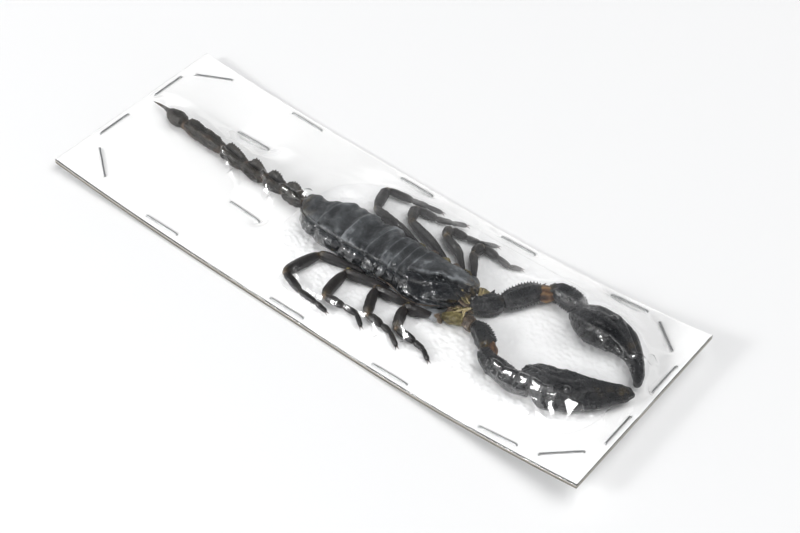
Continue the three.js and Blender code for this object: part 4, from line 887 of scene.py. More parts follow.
L_HAND = [[165.2, 49.8, 5.9, 2.4, 2.2], [166.6, 49.6, 6.1, 3.7, 3.2], [169.2, 49.3, 6.4, 5.0, 4.1], [172.9, 49.1, 6.7, 5.9, 4.7], [176.8, 48.8, 6.6, 5.8, 4.6], [180.6, 48.2, 6.0, 4.5, 4.0], [184.2, 47.1, 5.3, 3.0, 3.2],
          [187.8, 45.2, 4.6, 2.1, 2.5], [190.9, 42.4, 4.0, 1.7, 2.0], [193.1, 39.7, 3.6, 1.4, 1.5], [193.9, 38.3, 3.4, 1.1, 1.2]]
L_FINGER = [[176.4, 52.4, 5.5, 1.9, 2.2], [178.8, 52.4, 5.7, 2.4, 2.6], [182.0, 51.4, 5.5, 2.5, 2.6], [185.2, 49.5, 5.0, 2.2, 2.3], [188.2, 46.9, 4.5, 1.9, 1.9], [190.9, 43.9, 4.0, 1.6, 1.7], [193.0, 40.9, 3.6, 1.3, 1.4], [193.9, 38.9, 3.4, 1.0, 1.1]]
parts = [tube(L_HAND, 0.2, 96, (1.6, 0.9), hand_section(1.0), hand_relief(510, (52, 132, 92, -60, -120), 216))]
parts += [(*p, 1) for p in finger_teeth(L_HAND[6:], 1, 0.25, 15, 7, 0.3)]
piece("left_palp_hand_claw", parts, [M_CLAW, M_TOOTH], ["left_palp_hand"], palp_tan([(186.5, 47.2, 1.4, 0.3)]), True)
parts = [tube(L_FINGER, 0.18, 68, (1.0, 0.9), None, lambda S, th, P: 0.16 * rows(th, (60, 120, -90), 0.14) + 0.14 * fbm(P, 2.2, 3, 521) + 0.05 * bumps(P, 0.8, 522))]
parts += [(*p, 1) for p in finger_teeth(L_FINGER[3:], -1, 0.25, 15, 9, 0.3)]
piece("left_palp_finger_claw", parts, [M_CLAW, M_TOOTH], ["left_palp_finger"], palp_tan([(186.8, 48.6, 1.2, 0.25)]), True)

# jaws, with tan bristles between them
for name, y0, y1, s in (("right_chelicera", 35.4, 36.2, -1), ("left_chelicera", 38.3, 39.2, 1)):
    parts = [tube([[131.8, y0, 5.5, 1.3, 1.5], [133.6, y0 + 0.1, 5.6, 1.55, 1.75], [135.6, y0 + 0.4, 5.5, 1.5, 1.7], [136.8, y1, 5.3, 1.1, 1.3]], 0.14, 44, (0.5, 0.4), relief=lambda S, th, P: 0.13 * bumps(P, 0.75, 531) + 0.14 * fbm(P, 1.2, 3, 532) + 0.12 * rows(th, (45, 90, 135), 0.16)),
             cone(at(136.2, y1 + 0.45 * s, 5.5), at(139.0, y1 + 0.5 * s, 4.9), 0.62, 10, 0.2), cone(at(136.2, y1 - 0.45 * s, 5.3), at(138.6, y1 - 0.35 * s, 4.7), 0.5, 10, -0.15)]
    for k in range(26):
        o = np.array([rng.uniform(133.8, 137.8), (y0 + y1) / 2 + rng.uniform(-1.3, 1.3), rng.uniform(5.8, 6.8)])
        v = np.array([rng.uniform(0.3, 1.3), rng.uniform(-0.8, 0.8), rng.uniform(-0.2, 0.5)])
        parts.append((*cone(at(*o), at(*(o + v)), 0.07, 5, rng.uniform(-0.15, 0.15), 4), 1))
    piece(name + "_jaw", parts, [M_CLAW, M_GOLD], [name], palp_tan([(137.0, (y0 + y1) / 2, 1.3, 0.5)]), True)

# shrunken skin and tendons between the jaws and both arms
def ribbon(points, w, k, mat, seed):
    """A thin folded strip of dried skin through points X, Y, h."""
    n = len(points)
    st = [[*q, w * (0.55 + 0.45 * math.sin(math.pi * (i + 0.5) / n)), k] for i, q in enumerate(points)]
    return (*tube(st, 0.12, 20, (0.25, 0.25), relief=lambda S, th, P: 0.10 * fbm(P, 0.7, 3, seed) + 0.08 * np.cos(3 * th)), mat)


parts = [
    ribbon([(136.6, 30.9, 5.8), (138.2, 30.5, 6.3), (139.0, 31.2, 6.4), (139.9, 32.6, 6.1)], 0.45, 0.28, 1, 601),
    ribbon([(140.2, 27.7, 5.9), (140.0, 29.0, 6.3), (139.4, 30.3, 6.4), (139.6, 31.8, 6.2)], 0.42, 0.28, 1, 602),
    ribbon([(137.2, 28.2, 6.5), (138.0, 29.4, 6.6), (138.6, 30.6, 6.4)], 0.36, 0.24, 1, 603),
    ribbon([(135.2, 29.6, 5.8), (136.6, 29.8, 6.2), (138.2, 31.2, 6.2), (139.0, 32.6, 5.9)], 0.40, 0.25, 0, 604),
    ribbon([(133.9, 36.4, 7.1), (135.4, 35.6, 6.9), (137.0, 34.8, 6.5), (138.4, 34.2, 6.1)], 0.22, 0.20, 1, 605),
    ribbon([(134.4, 35.3, 6.4), (136.0, 34.6, 6.3), (137.8, 34.0, 5.9)], 0.75, 0.25, 0, 606),
    ribbon([(135.2, 33.6, 6.0), (136.8, 33.2, 6.0), (138.4, 33.0, 5.7)], 0.8, 0.3, 2, 607),
    ribbon([(137.4, 41.2, 6.3), (138.1, 39.8, 6.1), (138.6, 38.4, 5.6), (138.9, 37.2, 5.2)], 0.40, 0.25, 1, 608),
    ribbon([(138.2, 41.6, 5.8), (138.9, 40.2, 5.8), (139.3, 38.8, 5.4)], 0.32, 0.22, 1, 609),
    ribbon([(137.9, 40.9, 5.4), (139.2, 41.3, 5.5), (140.4, 41.0, 5.4)], 0.9, 0.5, 0, 610),
    ribbon([(139.0, 40.0, 5.2), (140.1, 40.3, 5.5), (140.6, 41.6, 5.3)], 0.7, 0.6, 2, 611),
    (*knob(at(138.6, 35.0, 3.9), (1.8, 2.2, 1.2), 22, 8, 0.3), 2), (*knob(at(137.0, 31.0, 4.4), (2.0, 1.7, 1.1), 22, 9, 0.3), 2), (*knob(at(135.4, 29.4, 4.6), (1.3, 1.3, 1.1), 20, 10, 0.3), 2)]
for k in range(60):
    o = np.array([rng.uniform(135.0, 140.6), rng.uniform(28.8, 33.8) if k % 3 else rng.uniform(39.0, 42.0), rng.uniform(5.0, 6.2)])
    v = np.array([rng.uniform(-0.2, 1.5), rng.uniform(-0.9, 0.9), rng.uniform(0.0, 0.4)])
    parts.append((*cone(at(*o), at(*(o + v)), 0.07, 5, rng.uniform(-0.2, 0.2), 4), 1))
piece("mouth_side_skin", parts, [M_GOLD, M_PALE, M_BROWN], [], None, True)

# far-side hip skin, between the body and the far thighs
parts = []
for k, (x, y, h) in enumerate(((108.6, 43.9, 4.6), (112.4, 44.5, 4.6), (117.2, 44.8, 4.5), (121.6, 44.9, 4.5), (125.4, 45.0, 4.4), (129.2, 45.0, 4.2))):
    parts.append((*tube([[x - 1.8, y - 0.5, h - 0.4, 0.6, 0.6], [x, y, h, 1.1, 0.9], [x + 1.9, y - 0.3, h - 0.3, 0.7, 0.6]], 0.2, 24, (0.5, 0.5), relief=lambda S, th, P, q=k: 0.24 * fbm(P, 1.0, 3, 541 + q)), k % 2))
piece("far_hip_skin", parts, [M_BROWN, M_GOLD], [], None, True)
# near-side thigh joints
parts = []
for k, (x, y, h) in enumerate(((133.4, 25.6, 4.2), (134.6, 25.0, 3.6), (124.3, 23.4, 4.8), (113.2, 23.2, 4.9), (101.8, 22.7, 4.9), (91.3, 23.0, 4.8))):
    parts.append((*knob(at(x, y, h), (1.0, 0.75, 0.85) if k < 2 else (0.7, 0.5, 0.45), 20, 60 + k, 0.35), 0 if k < 2 else 1))
parts.append(ribbon([(109.5, 25.6, 5.6), (115.2, 25.2, 5.9), (122, 23.9, 5.8), (127.2, 25.0, 5.6), (131.7, 28.0, 5.6)], 0.10, 0.10, 0, 612))
piece("near_hip_skin", parts, [M_BROWN, M_GOLD], [], None, True)

# ---------------------------------------------------------------- wadding
M_WAD, nt, p = new_material("wadding")
nt.links.new(ramp(nt, add(nt, tex(nt, "noise", 900, 4), tex(nt, "cells", 1400), 0.3), [(0.2, (0.92, 0.921, 0.923)), (0.6, (0.955, 0.956, 0.957)), (0.9, (0.97, 0.97, 0.97))]), p.inputs["Base Color"])
p.inputs["Roughness"].default_value = 0.95
p.inputs["Specular IOR Level"].default_value = 0.1
bumped(nt, p, tex(nt, "noise", 2600, 3, 0.7), 0.5, 0.00015)


def pad_share(u):
    return np.maximum(0.06, (1 - np.minimum(1, np.abs(u)) ** 3.4) ** (1 / 3.4))


def pad_top(X, Y):
    """Height of the wadding, mm above the card's face."""
    u = (X - (PAD_X0 + PAD_X1) / 2) / ((PAD_X1 - PAD_X0) / 2)
    half = PAD_HALF * pad_share(u)
    s = np.abs((Y - PAD_MID) / half)
    P = np.stack([X, Y, 0 * X], -1)
    rim = step01(1 - s, -0.06, 0.30) * step01(1 - np.abs(u), -0.03, 0.13)
    top = PAD_BASE + (PAD_TOP - PAD_BASE) * rim
    return top + rim * (0.38 * bumps(P, 1.45, 601) + 0.13 * bumps(P, 0.85, 605) + 0.20 * fbm(P, 7.0, 2, 603) - 0.10)


n, across = 292, 150
u = np.linspace(-1, 1, n)
X = (PAD_X0 + PAD_X1) / 2 + u * (PAD_X1 - PAD_X0) / 2
half = PAD_HALF * pad_share(u)
s = np.linspace(-1, 1, across)
Yt = PAD_MID + half[:, None] * s
Xt = X[:, None] + 0 * Yt
Xt = Xt + 0.4 * fbm(np.stack([Xt, Yt, 0 * Xt], -1), 5.0, 2, 607) * (np.abs(u)[:, None] > 0.9)
top = np.maximum(pad_top(Xt, Yt), PAD_BASE + 0.06)
sb = np.linspace(0.995, -0.995, 26)
Yb = PAD_MID + half[:, None] * sb
rings = np.concatenate([at(Xt, Yt, top), at(X[:, None] + 0 * Yb, Yb, PAD_BASE + 0 * Yb)], 1)
wad = piece("wadding_pad", [skin(rings, rings[0].mean(0), rings[-1].mean(0))], [M_WAD], ["wadding"])
WAD_TOP = (Xt, Yt, top)

# ---------------------------------------------------------------- staples
M_WIRE, nt, p = new_material("zinc_wire")
nt.links.new(ramp(nt, tex(nt, "noise", 900, 4), [(0.3, (0.58, 0.585, 0.59)), (0.7, (0.84, 0.845, 0.85))]), p.inputs["Base Color"])
p.inputs["Metallic"].default_value = 1.0
nt.links.new(spread(nt, tex(nt, "noise", 2400, 3), 0.3, 0.7, 0.34, 0.55), p.inputs["Roughness"])
bumped(nt, p, tex(nt, "noise", 1500, 3, 0.5, (1, 8, 8)), 0.3, 0.00005)

STAPLES = [
    (1.9, 42.9, 1.9, 55.8), (4.3, 59.4, 15.4, 66.5), (1.9, 18.0, 1.9, 30.9), (6.1, 13.6, 16.4, 5.7), (40.1, 68.1, 53.0, 68.1), (33.1, 49.3, 46.0, 50.0),
    (52.5, 24.2, 65.4, 23.6), (37.4, 2.4, 50.3, 2.8), (88.8, 2.0, 101.7, 2.2), (86.2, 67.9, 99.1, 67.9), (126.0, 67.9, 138.9, 68.1), (166.6, 68.0, 179.4, 68.1),
    (184.3, 66.6, 193.9, 58.0), (198.0, 53.6, 198.0, 40.7), (198.0, 29.7, 198.0, 16.8), (165.9, 2.1, 178.7, 2.8), (185.1, 3.4, 195.0, 11.5), (127.9, 1.9, 140.8, 2.1)]


def staple_frame(x0, y0, x1, y1):
    X, Y, m = (x0 + x1) / 2, (y0 + y1) / 2, slope((x0 + x1) / 2)
    d = unit(np.array([x1 - x0, y1 - y0, m * (x1 - x0)]))
    nn = unit(np.array([-m, 0, 1.0]))
    w = unit(np.cross(nn, d))
    return at(X, Y, 0), d, w, nn


def rounded(line, r, count=5):
    """A polyline with its corners turned into arcs."""
    out = [np.array(line[0], float)]
    for a, b, c in zip(line, line[1:], line[2:]):
        a, b, c = (np.array(q, float) for q in (a, b, c))
        p0, p1 = b + unit(a - b) * r, b + unit(c - b) * r
        for k in range(count + 1):
            q = k / count
            out.append((1 - q) ** 2 * p0 + 2 * q * (1 - q) * b + q * q * p1)
    out.append(np.array(line[-1], float))
    return out


def dense(points, step):
    out = [points[0]]
    for a, b in zip(points, points[1:]):
        m = max(1, int(math.ceil(np.linalg.norm(b - a) / step)))
        out += [a + (b - a) * k / m for k in range(1, m + 1)]
    return np.array(out)


def staple(k, ends):
    o, d, w, nn = staple_frame(*ends)
    half, low, top = STAPLE_CROWN / 2 - WIRE_T / 2, -CARD_T + 0.1 + WIRE_T / 2, 0.41
    line = dense(rounded([(-half + CLINCH, low), (-half, low), (-half, top), (half, top), (half, low), (half - CLINCH, low)], 0.42), 0.5)
    t = unit(np.gradient(line, axis=0))
    m = np.stack([-t[:, 1], t[:, 0]], -1)
    line = line + m * (0.018 * np.sin(line[:, 0] * 1.3 + k))[:, None] * (line[:, 1] > 0.3)[:, None]
    th = 2 * math.pi * (np.arange(16) + 0.5) / 16
    cs, sn = np.cos(th), np.sin(th)
    e = 0.55
    cw, ct = np.sign(cs) * np.abs(cs) ** e * (WIRE_W + 0.04) / 2, np.sign(sn) * np.abs(sn) ** e * WIRE_T / 2
    rings = []
    for i in [0] + list(range(len(line))) + [len(line) - 1]:
        g = 1.0
        q = line[i]
        if len(rings) == 0 or len(rings) == len(line) + 1:
            g = 0.8
            q = line[i] + t[i] * (-0.05 if len(rings) == 0 else 0.05)
        x, z = q[0] + g * ct * m[i, 0], q[1] + g * ct * m[i, 1]
        rings.append(o + d * x[:, None] + w * (g * cw)[:, None] + nn * z[:, None])
    rings = np.array(rings)
    return skin(rings, rings[0].mean(0), rings[-1].mean(0))


for k, ends in enumerate(STAPLES, 1):
    ob = piece(f"staple_wire_{k:02d}", [staple(k, ends)], [M_WIRE], [f"staple_{k:02d}"])
    ob.data.set_sharp_from_angle(angle=math.radians(50))

# ---------------------------------------------------------------- card
M_CARD, nt, p = new_material("white_card")
a = nt.nodes.new("ShaderNodeAttribute")
a.attribute_name = "tan"
deep = nt.nodes.new("ShaderNodeAttribute")
deep.attribute_name = "edge_depth"
white = ramp(nt, tex(nt, "noise", 60, 5, 0.6), [(0.3, (0.935, 0.935, 0.932)), (0.7, (0.955, 0.955, 0.951))])
# the cut side: a thin dark line under the face, grey-beige below it, then darker olive towards the bottom
board = ramp(nt, add(nt, deep.outputs["Fac"], add(nt, tex(nt, "noise", 900, 4, 0.6, (0.15, 0.15, 3.0)), tex(nt, "noise", 120, 3), 0.5), 0.10),
             [(0.10, (0.10, 0.09, 0.075)), (0.20, (0.42, 0.39, 0.34)), (0.60, (0.34, 0.31, 0.265)), (0.68, (0.105, 0.095, 0.06)), (1.0, (0.075, 0.068, 0.045))])
edge = blend_colour(nt, spread(nt, tex(nt, "noise", 420, 4, 0.7, (0.25, 0.25, 2.0)), 0.45, 0.75, 0.0, 0.5), board, (0.30, 0.28, 0.24))
nt.links.new(blend_colour(nt, a.outputs["Fac"], white, edge), p.inputs["Base Color"])
p.inputs["Roughness"].default_value = 0.75
p.inputs["Specular IOR Level"].default_value = 0.25
bumped(nt, p, add(nt, tex(nt, "noise", 1300, 4, 0.6), tex(nt, "noise", 240, 3), 0.8), 0.25, 0.00006)

y_in = np.r_[0.35, np.arange(2.0, CARD_W - 1.0, 2.0), CARD_W - 0.35]
side_z = [-0.015, -0.06, -0.16, -0.3, -0.45, -0.6, -0.75, -0.9, -1.04, -1.14, -1.185]
xr = np.r_[0.0, 0.012, 0.05, 0.15, 0.35, np.arange(1.25, CARD_L - 0.6, 1.25), CARD_L - np.array([0.35, 0.15, 0.05, 0.012, 0.0])]
rings, tans = [], []
for x in xr:
    d = min(x, CARD_L - x)
    inset = 0.09 * max(0.0, 1 - d / 0.15) ** 2
    top_row = [(y, 0.0 - inset, 0) for y in y_in]
    far_side = [(CARD_W - 0.10 * max(0, 1 - min(-z, z + CARD_T) / 0.10) ** 2 - inset, np.clip(z, -CARD_T + inset, -inset), 1) for z in side_z]
    low_row = [(y, -CARD_T + inset, 0) for y in y_in[::-1]]
    near_side = [(0.10 * max(0, 1 - min(-z, z + CARD_T) / 0.10) ** 2 + inset, np.clip(z, -CARD_T + inset, -inset), 1) for z in side_z[::-1]]
    rings.append([(x, y, z) for y, z, _ in top_row + far_side + low_row + near_side])
rings = np.array(rings)
lone = at(rings[..., 0], rings[..., 1], rings[..., 2])
# the board's layers show as faint ragged lines along its cut sides
wall = (np.minimum(rings[..., 1], CARD_W - rings[..., 1]) < 0.2) & (rings[..., 2] < -0.02)
rough = 0.035 * fbm(lone * [0.35, 0.35, 4.0], 1.2, 3, 701) + 0.02 * np.sin(rings[..., 2] * 26 + 2 * noise(lone, 14, 702))
lone[..., 1] += np.where(wall, rough * np.where(rings[..., 1] < 35, 1, -1), 0)
lone[..., 2] = np.maximum(lone[..., 2], bow(rings[..., 0]))
V, Q, T = skin(lone, lone[0].mean(0), lone[-1].mean(0))


def card_tan(X, Y, h, co):
    side = np.minimum(np.minimum(Y, CARD_W - Y), np.minimum(X, CARD_L - X))
    return (1 - step01(side, 0.10, 0.22)) * step01(-h, 0.02, 0.12)


cut_parts = []


def cutter(sx, sy, sz, x, z, fr):
    o, d, w, nn = fr
    c = np.array([[i, j, k] for i in (-1, 1) for j in (-1, 1) for k in (-1, 1)], float) / 2 * [sx, sy, sz] + [x, 0, z]
    P = o + c[:, :1] * d + c[:, 1:2] * w + c[:, 2:] * nn
    F = np.array([[0, 1, 3, 2], [4, 6, 7, 5], [0, 4, 5, 1], [2, 3, 7, 6], [0, 2, 6, 4], [1, 5, 7, 3]])
    return outward(P, F, np.zeros((0, 3), int))


card = piece("card_board", [(V, Q, T)], [M_CARD], ["card"], card_tan)
edge_depth = card.data.attributes.new("edge_depth", "FLOAT", "POINT")
edge_depth.data.foreach_set("value", np.clip(-on_card(V)[2] / CARD_T, 0, 1).astype(np.float32))
frames = [staple_frame(*ends) for ends in STAPLES]
tools = []
for part, label in ((lambda fr: [cutter(STAPLE_CROWN + 0.5, WIRE_W + 0.3, 1.6, 0, -CARD_T - 0.8 + 0.62, fr)], "groove"),
                    (lambda fr: [cutter(WIRE_T + 0.14, WIRE_W + 0.24, 6, s * (STAPLE_CROWN / 2 - WIRE_T / 2), 0, fr) for s in (-1, 1)], "holes")):
    me = bpy.data.meshes.new("cut_" + label)
    vs, fs = [], []
    for fr in frames:
        for P, F, _ in part(fr):
            fs += [[int(q) + len(vs) for q in f] for f in F]
            vs += [tuple(q / 1000) for q in P]
    me.from_pydata(vs, [], fs)
    ob = bpy.data.objects.new("cut_" + label, me)
    bpy.context.scene.collection.objects.link(ob)
    mod = card.modifiers.new(label, "BOOLEAN")
    mod.operation, mod.solver, mod.object = "DIFFERENCE", "EXACT", ob
    tools.append(ob)
bpy.context.view_layer.update()
done = bpy.data.meshes.new_from_object(card.evaluated_get(bpy.context.evaluated_depsgraph_get()), preserve_all_data_layers=True, depsgraph=bpy.context.evaluated_depsgraph_get())
card.modifiers.clear()
old = card.data
card.data = done
bpy.data.meshes.remove(old)
for ob in tools:
    me = ob.data
    bpy.data.objects.remove(ob)
    bpy.data.meshes.remove(me)
card.data.set_sharp_from_angle(angle=math.radians(35))

# ---------------------------------------------------------------- film
FILM_T, PINNED = 0.05, 0.12


def lines(*spans):
    """Grid lines: (end of the stretch, spacing), closer together where the film is creased."""
    out, a = [0.0], 0.0
    for b, gap in spans:
        out += list(a + (b - a) * np.arange(1, round((b - a) / gap) + 1) / round((b - a) / gap))
        a = b
    return np.array(out)


FX, FY = lines((36, 1.0), (86, 0.62), (146, 0.56), (CARD_L, 0.41)), lines((6, 0.6), (20, 0.44), (34, 0.56), (51, 0.5), (CARD_W, 0.85))
GX, GY = np.meshgrid(FX, FY, indexing="ij")
# slope of a patch of film that mirrors the key light, up along Y, and along X past the card's own bow
LIT_Y = 1.118 + 0.0028 * (GY - 35)
LIT_X = 0.00191 * (GX - 109.4) + 2 * BOW_TAIL * np.maximum(0, FLAT_TAIL - GX) - 2 * BOW_HEAD * np.maximum(0, GX - FLAT_HEAD)


def raster(points, nx, ny):
    """Highest point in each cell of a grid over the card."""
    X, Y, h = on_card(points)
    i, j = np.rint(X / CARD_L * (nx - 1)).astype(int), np.rint(Y / CARD_W * (ny - 1)).astype(int)
    ok = (i >= 0) & (i < nx) & (j >= 0) & (j < ny)
    out = np.zeros((nx, ny))
    np.maximum.at(out, (i[ok], j[ok]), h[ok])
    return out


def grown(a, r=1):
    for _ in range(r):
        b = a.copy()
        b[1:] = np.maximum(b[1:], a[:-1]); b[:-1] = np.maximum(b[:-1], a[1:])
        c = b.copy()
        c[:, 1:] = np.maximum(c[:, 1:], b[:, :-1]); c[:, :-1] = np.maximum(c[:, :-1], b[:, 1:])
        a = c
    return a


def blurred(a, rounds):
    for _ in range(rounds):
        p_ = np.pad(a, 1, mode="edge")
        a = (p_[:-2, 1:-1] + p_[2:, 1:-1] + 2 * a) / 4
        p_ = np.pad(a, 1, mode="edge")
        a = (p_[1:-1, :-2] + p_[1:-1, 2:] + 2 * a) / 4
    return a


def resample(a, nx, ny):
    qx, qy = np.linspace(0, a.shape[0] - 1, nx), np.linspace(0, a.shape[1] - 1, ny)
    i, j = np.clip(qx.astype(int), 0, a.shape[0] - 2), np.clip(qy.astype(int), 0, a.shape[1] - 2)
    s, t = (qx - i)[:, None], (qy - j)[None]
    return (a[i][:, j] * (1 - s) * (1 - t) + a[i + 1][:, j] * s * (1 - t) + a[i][:, j + 1] * (1 - s) * t + a[i + 1][:, j + 1] * s * t)


def pins(nx, ny):
    x, y = np.meshgrid(np.linspace(0, CARD_L, nx), np.linspace(0, CARD_W, ny), indexing="ij")
    m = np.zeros((nx, ny), bool)
    m[0], m[-1], m[:, 0], m[:, -1] = True, True, True, True
    for x0, y0, x1, y1 in STAPLES:
        L = math.hypot(x1 - x0, y1 - y0)
        t = np.clip(((x - x0) * (x1 - x0) + (y - y0) * (y1 - y0)) / L ** 2, 0, 1)
        m |= np.hypot(x - x0 - t * (x1 - x0), y - y0 - t * (y1 - y0)) < max(1.15, 0.75 * CARD_L / nx)
    return m


cloud = np.concatenate(SPECIMEN + [at(*WAD_TOP).reshape(-1, 3)])
film = None
for nx, ny, rounds in ((92, 33, 260), (182, 64, 200), (364, 128, 160)):
    floor_h = grown(raster(cloud, nx, ny), 2 if nx > 300 else 1) + 0.22
    pin = pins(nx, ny)
    film = np.maximum(floor_h, PINNED) if film is None else np.maximum(resample(film, nx, ny), floor_h)
    film[pin] = PINNED
    for _ in range(rounds):
        mean = film.copy()
        mean[1:-1, 1:-1] = (film[:-2, 1:-1] + film[2:, 1:-1] + film[1:-1, :-2] + film[1:-1, 2:]) / 4
        film = np.maximum(mean, floor_h)
        film[pin] = PINNED
skin_h = grown(raster(cloud, 364, 128), 1) + 0.10
film = np.maximum(blurred(film, 6), skin_h)
film = np.maximum(blurred(film, 1), skin_h)
low = film.copy()



def onto(a):
    """From the even grid to the film's own lines."""
    ex, ey = np.linspace(0, CARD_L, a.shape[0]), np.linspace(0, CARD_W, a.shape[1])
    half = np.array([np.interp(FY, ey, row) for row in a])
    return np.array([np.interp(FX, ex, col) for col in half.T]).T


low, skin_h = onto(low), onto(skin_h)
film = low.copy()

# creases: (points X, Y, reach across in mm, share of the mirror slope)
CREASES = [
    ([(39, 35.4), (51.1, 28.5)], 0.9, 1.0), ([(55.6, 35.8), (66.9, 27.7)], 0.9, 1.0), ([(64.3, 34.5), (73.8, 33.1)], 0.8, 1.0),
    ([(71.5, 35.2), (74.6, 37.6)], 1.1, 1.0), ([(90, 12), (95.5, 7.9)], 0.7, 1.0), ([(119.2, 12.5), (126.8, 7)], 0.8, 1.0),
    ([(94.8, 8.7), (101.5, 8.4), (107, 9.8), (113.7, 11.4)], 0.9, 1.0), ([(158.4, 17.6), (162.9, 16.5), (166.1, 16.7), (176, 15.8), (181.5, 17.2)], 0.95, 1.0),
    ([(177.3, 16.2), (179.7, 17)], 0.6, 1.0), ([(181.1, 18.9), (183, 19.4)], 0.6, 1.0), ([(177.6, 14.6), (180.2, 14.4), (184.6, 12.1)], 0.6, 1.0),
    ([(187.5, 18.3), (194.3, 21)], 0.8, 1.0), ([(176.9, 11.7), (182.7, 10.5)], 1.0, 1.0),
    ([(176.4, 43.4), (182.1, 40.1)], 0.7, 1.0), ([(179.7, 43.2), (186, 41.5)], 0.7, 1.0), ([(179.7, 43.2), (183, 40.3)], 0.5, 1.0),
    ([(177.3, 48), (177.6, 50.7)], 0.5, 1.0), ([(185.8, 41.9), (191.4, 45.2)], 0.5, 1.0), ([(147.5, 3.9), (177.2, 10.4)], 0.9, 0.8), ([(191.8, 47.2), (193.4, 48.0)], 1.0, 1.0)]
# small flat three-cornered facets: (X, Y, length, width, turn)
FACETS = [(185.0, 17.0, 4.7, 3.6, 0.0), (116.1, 11.5, 3.2, 2.0, 0.15), (130.2, 13.8, 4.4, 2.4, -0.4), (122.6, 9.9, 2.6, 1.8, -0.6)]
CORNERS = [(-1.0, 0.30), (0.65, 0.45), (0.35, -0.75)]
gx, gy = np.gradient(film, FX, FY)
for pts, reach, share in CREASES:
    best, D, SX, SY = np.full(GX.shape, 1e9), np.zeros(GX.shape), np.zeros(GX.shape), np.zeros(GX.shape)
    along, total = np.zeros(GX.shape), sum(math.dist(a, b) for a, b in zip(pts, pts[1:]))
    run = 0.0
    for (ax, ay), (bx, by) in zip(pts, pts[1:]):
        L = math.hypot(bx - ax, by - ay)
        tx, ty = (bx - ax) / L, (by - ay) / L
        q = np.clip((GX - ax) * tx + (GY - ay) * ty, 0, L)
        dx, dy = GX - ax - q * tx, GY - ay - q * ty
        dist = np.hypot(dx, dy)
        use = dist < best
        best = np.where(use, dist, best)
        mx, my = -ty, tx
        signed = (GX - ax) * mx + (GY - ay) * my
        D, SX, SY = np.where(use, signed, D), np.where(use, mx, SX), np.where(use, my, SY)
        along = np.where(use, run + q, along)
        run += L
    want = LIT_X * SX + LIT_Y * SY - (gx * SX + gy * SY)
    want_t = LIT_X * SY - LIT_Y * SX - (gx * SY - gy * SX)
    width = max(reach * 1.1, 0.85) * (0.6 + 0.4 * np.sin(math.pi * np.clip(along / total, 0, 1)))
    chunk = total / max(1, round(total / 5.2))
    part = (along / chunk) % 1.0 * 2 - 1
    step = 1.3 * np.tanh(want_t * part * chunk / 2 / 1.3) * (1 - np.abs(part) ** 9)
    film = film + share * (want * (D + 0.45 * width) - 0.20 * D ** 2 + step) * np.exp(-(best / (1.35 * width)) ** 4)
for cx, cy, rx, ry, turn in FACETS:
    c, q = math.cos(turn), math.sin(turn)
    dx, dy = GX - cx, GY - cy
    a, b = dx * c + dy * q, -dx * q + dy * c
    inside = np.full(GX.shape, 1e9)
    for (x0, y0), (x1, y1) in zip(CORNERS, CORNERS[1:] + CORNERS[:1]):
        x0, y0, ex, ey = x0 * rx, y0 * ry, (x1 - x0) * rx, (y1 - y0) * ry
        inside = np.minimum(inside, ((a - x0) * ey - (b - y0) * ex) / math.hypot(ex, ey))
    i, j = int(np.argmin(np.abs(FX - cx))), int(np.argmin(np.abs(FY - cy)))
    flat = film[i, j] + dx * LIT_X[i, j] + dy * LIT_Y[i, j]
    film = film + (flat - film) * step01(inside, -0.6, 0.15)
# wrinkles: long soft ones all over, and small tight ones over the near shins
P = np.stack([GX, GY, 0 * GX], -1)
free = 1 - np.exp(-np.maximum(0, low - PINNED) / 0.8)
film += free * (0.09 * fbm(P * [0.35, 1.0, 1], 7.0, 2, 801) + 0.015 * fbm(P * [1.0, 0.5, 1], 3.0, 2, 802))
shins = np.exp(-((GY - 9.4) / 1.6) ** 2) * step01(GX, 94, 97) * step01(114.5 - GX, 0, 2)
film += shins * 0.12 * np.sin(2 * math.pi * (GX + 0.5 * (GY - 10) + 0.9 * noise(P, 2.5, 805)) / 1.9)
film = np.maximum(film, skin_h - 0.06)
hold = onto(pins(364, 128).astype(float))
film = film * (1 - hold) + PINNED * hold
film = np.maximum(film, PINNED)

up_, dn = at(GX, GY, film + FILM_T), at(GX, GY, film)
nx, ny = GX.shape
V = np.concatenate([up_.reshape(-1, 3), dn.reshape(-1, 3)])
i, j = np.meshgrid(np.arange(nx - 1), np.arange(ny - 1), indexing="ij")
a = (i * ny + j).ravel()
b, c, d = a + ny, a + ny + 1, a + 1
off = nx * ny
Q = np.concatenate([np.stack([a, b, c, d], -1), np.stack([a + off, d + off, c + off, b + off], -1)])
rim = np.r_[np.arange(nx - 1) * ny, (nx - 1) * ny + np.arange(ny - 1), (np.arange(nx - 1, 0, -1)) * ny + ny - 1, np.arange(ny - 1, 0, -1)]
nxt = np.roll(rim, -1)
Q = np.concatenate([Q, np.stack([rim, rim + off, nxt + off, nxt], -1)])
M_FILM, nt, p = new_material("clear_film")
p.inputs["Base Color"].default_value = (1, 1, 1, 1)
p.inputs["Transmission Weight"].default_value = 1.0
p.inputs["IOR"].default_value = 1.49
p.inputs["Roughness"].default_value = 0.04
V, Q, T = outward(V, Q, np.zeros((0, 3), int))
sheet = piece("film_sheet", [(V, Q, T)], [M_FILM], ["cover_film"])
sheet.visible_shadow = False

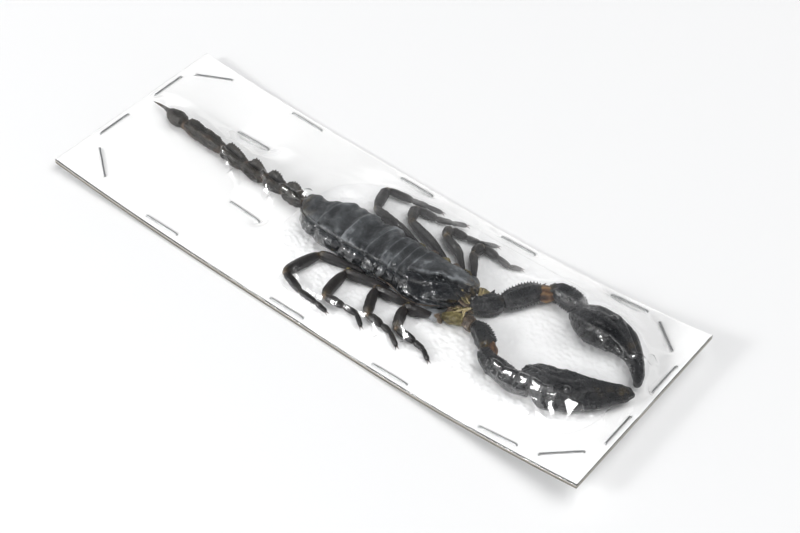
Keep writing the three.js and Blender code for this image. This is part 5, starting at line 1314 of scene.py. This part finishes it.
# ---------------------------------------------------------------- floor, light and camera
M_FLOOR, nt, p = new_material("pale_floor")
nt.links.new(ramp(nt, tex(nt, "noise", 3, 4), [(0.3, (0.845, 0.845, 0.845)), (0.7, (0.857, 0.857, 0.857))]), p.inputs["Base Color"])
p.inputs["Roughness"].default_value = 0.8
p.inputs["Specular IOR Level"].default_value = 0.1
g = 3.0
ground = bpy.data.meshes.new("ground")
ground.from_pydata([(-g, -g, -0.00005), (g, -g, -0.00005), (g, g, -0.00005), (-g, g, -0.00005)], [], [(0, 1, 2, 3)])
ground.materials.append(M_FLOOR)
ground_ob = bpy.data.objects.new("ground", ground)
bpy.context.scene.collection.objects.link(ground_ob)


def lamp(name, direction, distance, sx, sy, radiance, glossy=True, colour=(1, 1, 1)):
    li = bpy.data.lights.new(name, "AREA")
    li.shape, li.size, li.size_y = "RECTANGLE", sx, sy
    li.energy = radiance * math.pi * sx * sy
    li.color = colour
    ob = bpy.data.objects.new(name, li)
    v = Vector(direction).normalized()
    ob.location = v * distance
    ob.rotation_euler = v.to_track_quat("Z", "Y").to_euler()
    ob.visible_glossy = glossy
    ob.visible_transmission = glossy
    bpy.context.scene.collection.objects.link(ob)
    return ob


lamp("key", (-0.40, -0.783, 0.476), 1.25, 0.26, 0.26, 25.0)
lamp("near_soft", (-0.42, -0.72, 0.55), 1.5, 1.2, 1.2, 0.95)
lamp("fill", (0.30, 0.22, 0.928), 4.0, 3.8, 3.8, 3.28, glossy=False)

world = bpy.data.worlds.new("studio")
bpy.context.scene.world = world
world.use_nodes = True
nt = world.node_tree
nt.nodes.clear()
out = nt.nodes.new("ShaderNodeOutputWorld")
bg = nt.nodes.new("ShaderNodeBackground")
nt.links.new(bg.outputs[0], out.inputs[0])
co = nt.nodes.new("ShaderNodeTexCoord")
sep = nt.nodes.new("ShaderNodeSeparateXYZ")
nt.links.new(co.outputs["Generated"], sep.inputs[0])
sky = ramp(nt, sep.outputs["Z"], [(0.0, (1.2, 1.2, 1.2)), (0.11, (1.1, 1.1, 1.1)), (0.24, (0.34, 0.345, 0.35)), (0.5, (0.25, 0.255, 0.265)), (0.76, (0.27, 0.275, 0.285)), (0.88, (0.07, 0.072, 0.078)), (1.0, (0.045, 0.047, 0.05))])
nt.links.new(sky, bg.inputs["Color"])
bg.inputs["Strength"].default_value = 1.0

cam_data = bpy.data.cameras.new("camera")
cam_data.lens, cam_data.sensor_width, cam_data.sensor_fit, cam_data.clip_start = 76.37, 36.0, "HORIZONTAL", 0.01
cam_data.dof.use_dof = False
camera = bpy.data.objects.new("camera", cam_data)
r, u_, b_ = (0.78169741, 0.62205872, 0.04463302), (-0.47822128, 0.55193163, 0.6831368), (0.40031683, -0.55535073, 0.72892524)
camera.matrix_world = Matrix(((r[0], u_[0], b_[0], 0.216640), (r[1], u_[1], b_[1], -0.284084), (r[2], u_[2], b_[2], 0.377267), (0, 0, 0, 1)))
bpy.context.scene.collection.objects.link(camera)
bpy.context.scene.camera = camera
bpy.context.scene.view_settings.view_transform = "Standard"
bpy.context.scene.view_settings.look = "None"

bpy.context.view_layer.update()
count = {o.name: sum(len(q.vertices) - 2 for q in o.data.polygons) for o in bpy.data.objects if o.type == "MESH" and not o.hide_render}
print("triangles", sum(count.values()), sorted(count.items(), key=lambda kv: -kv[1])[:14])
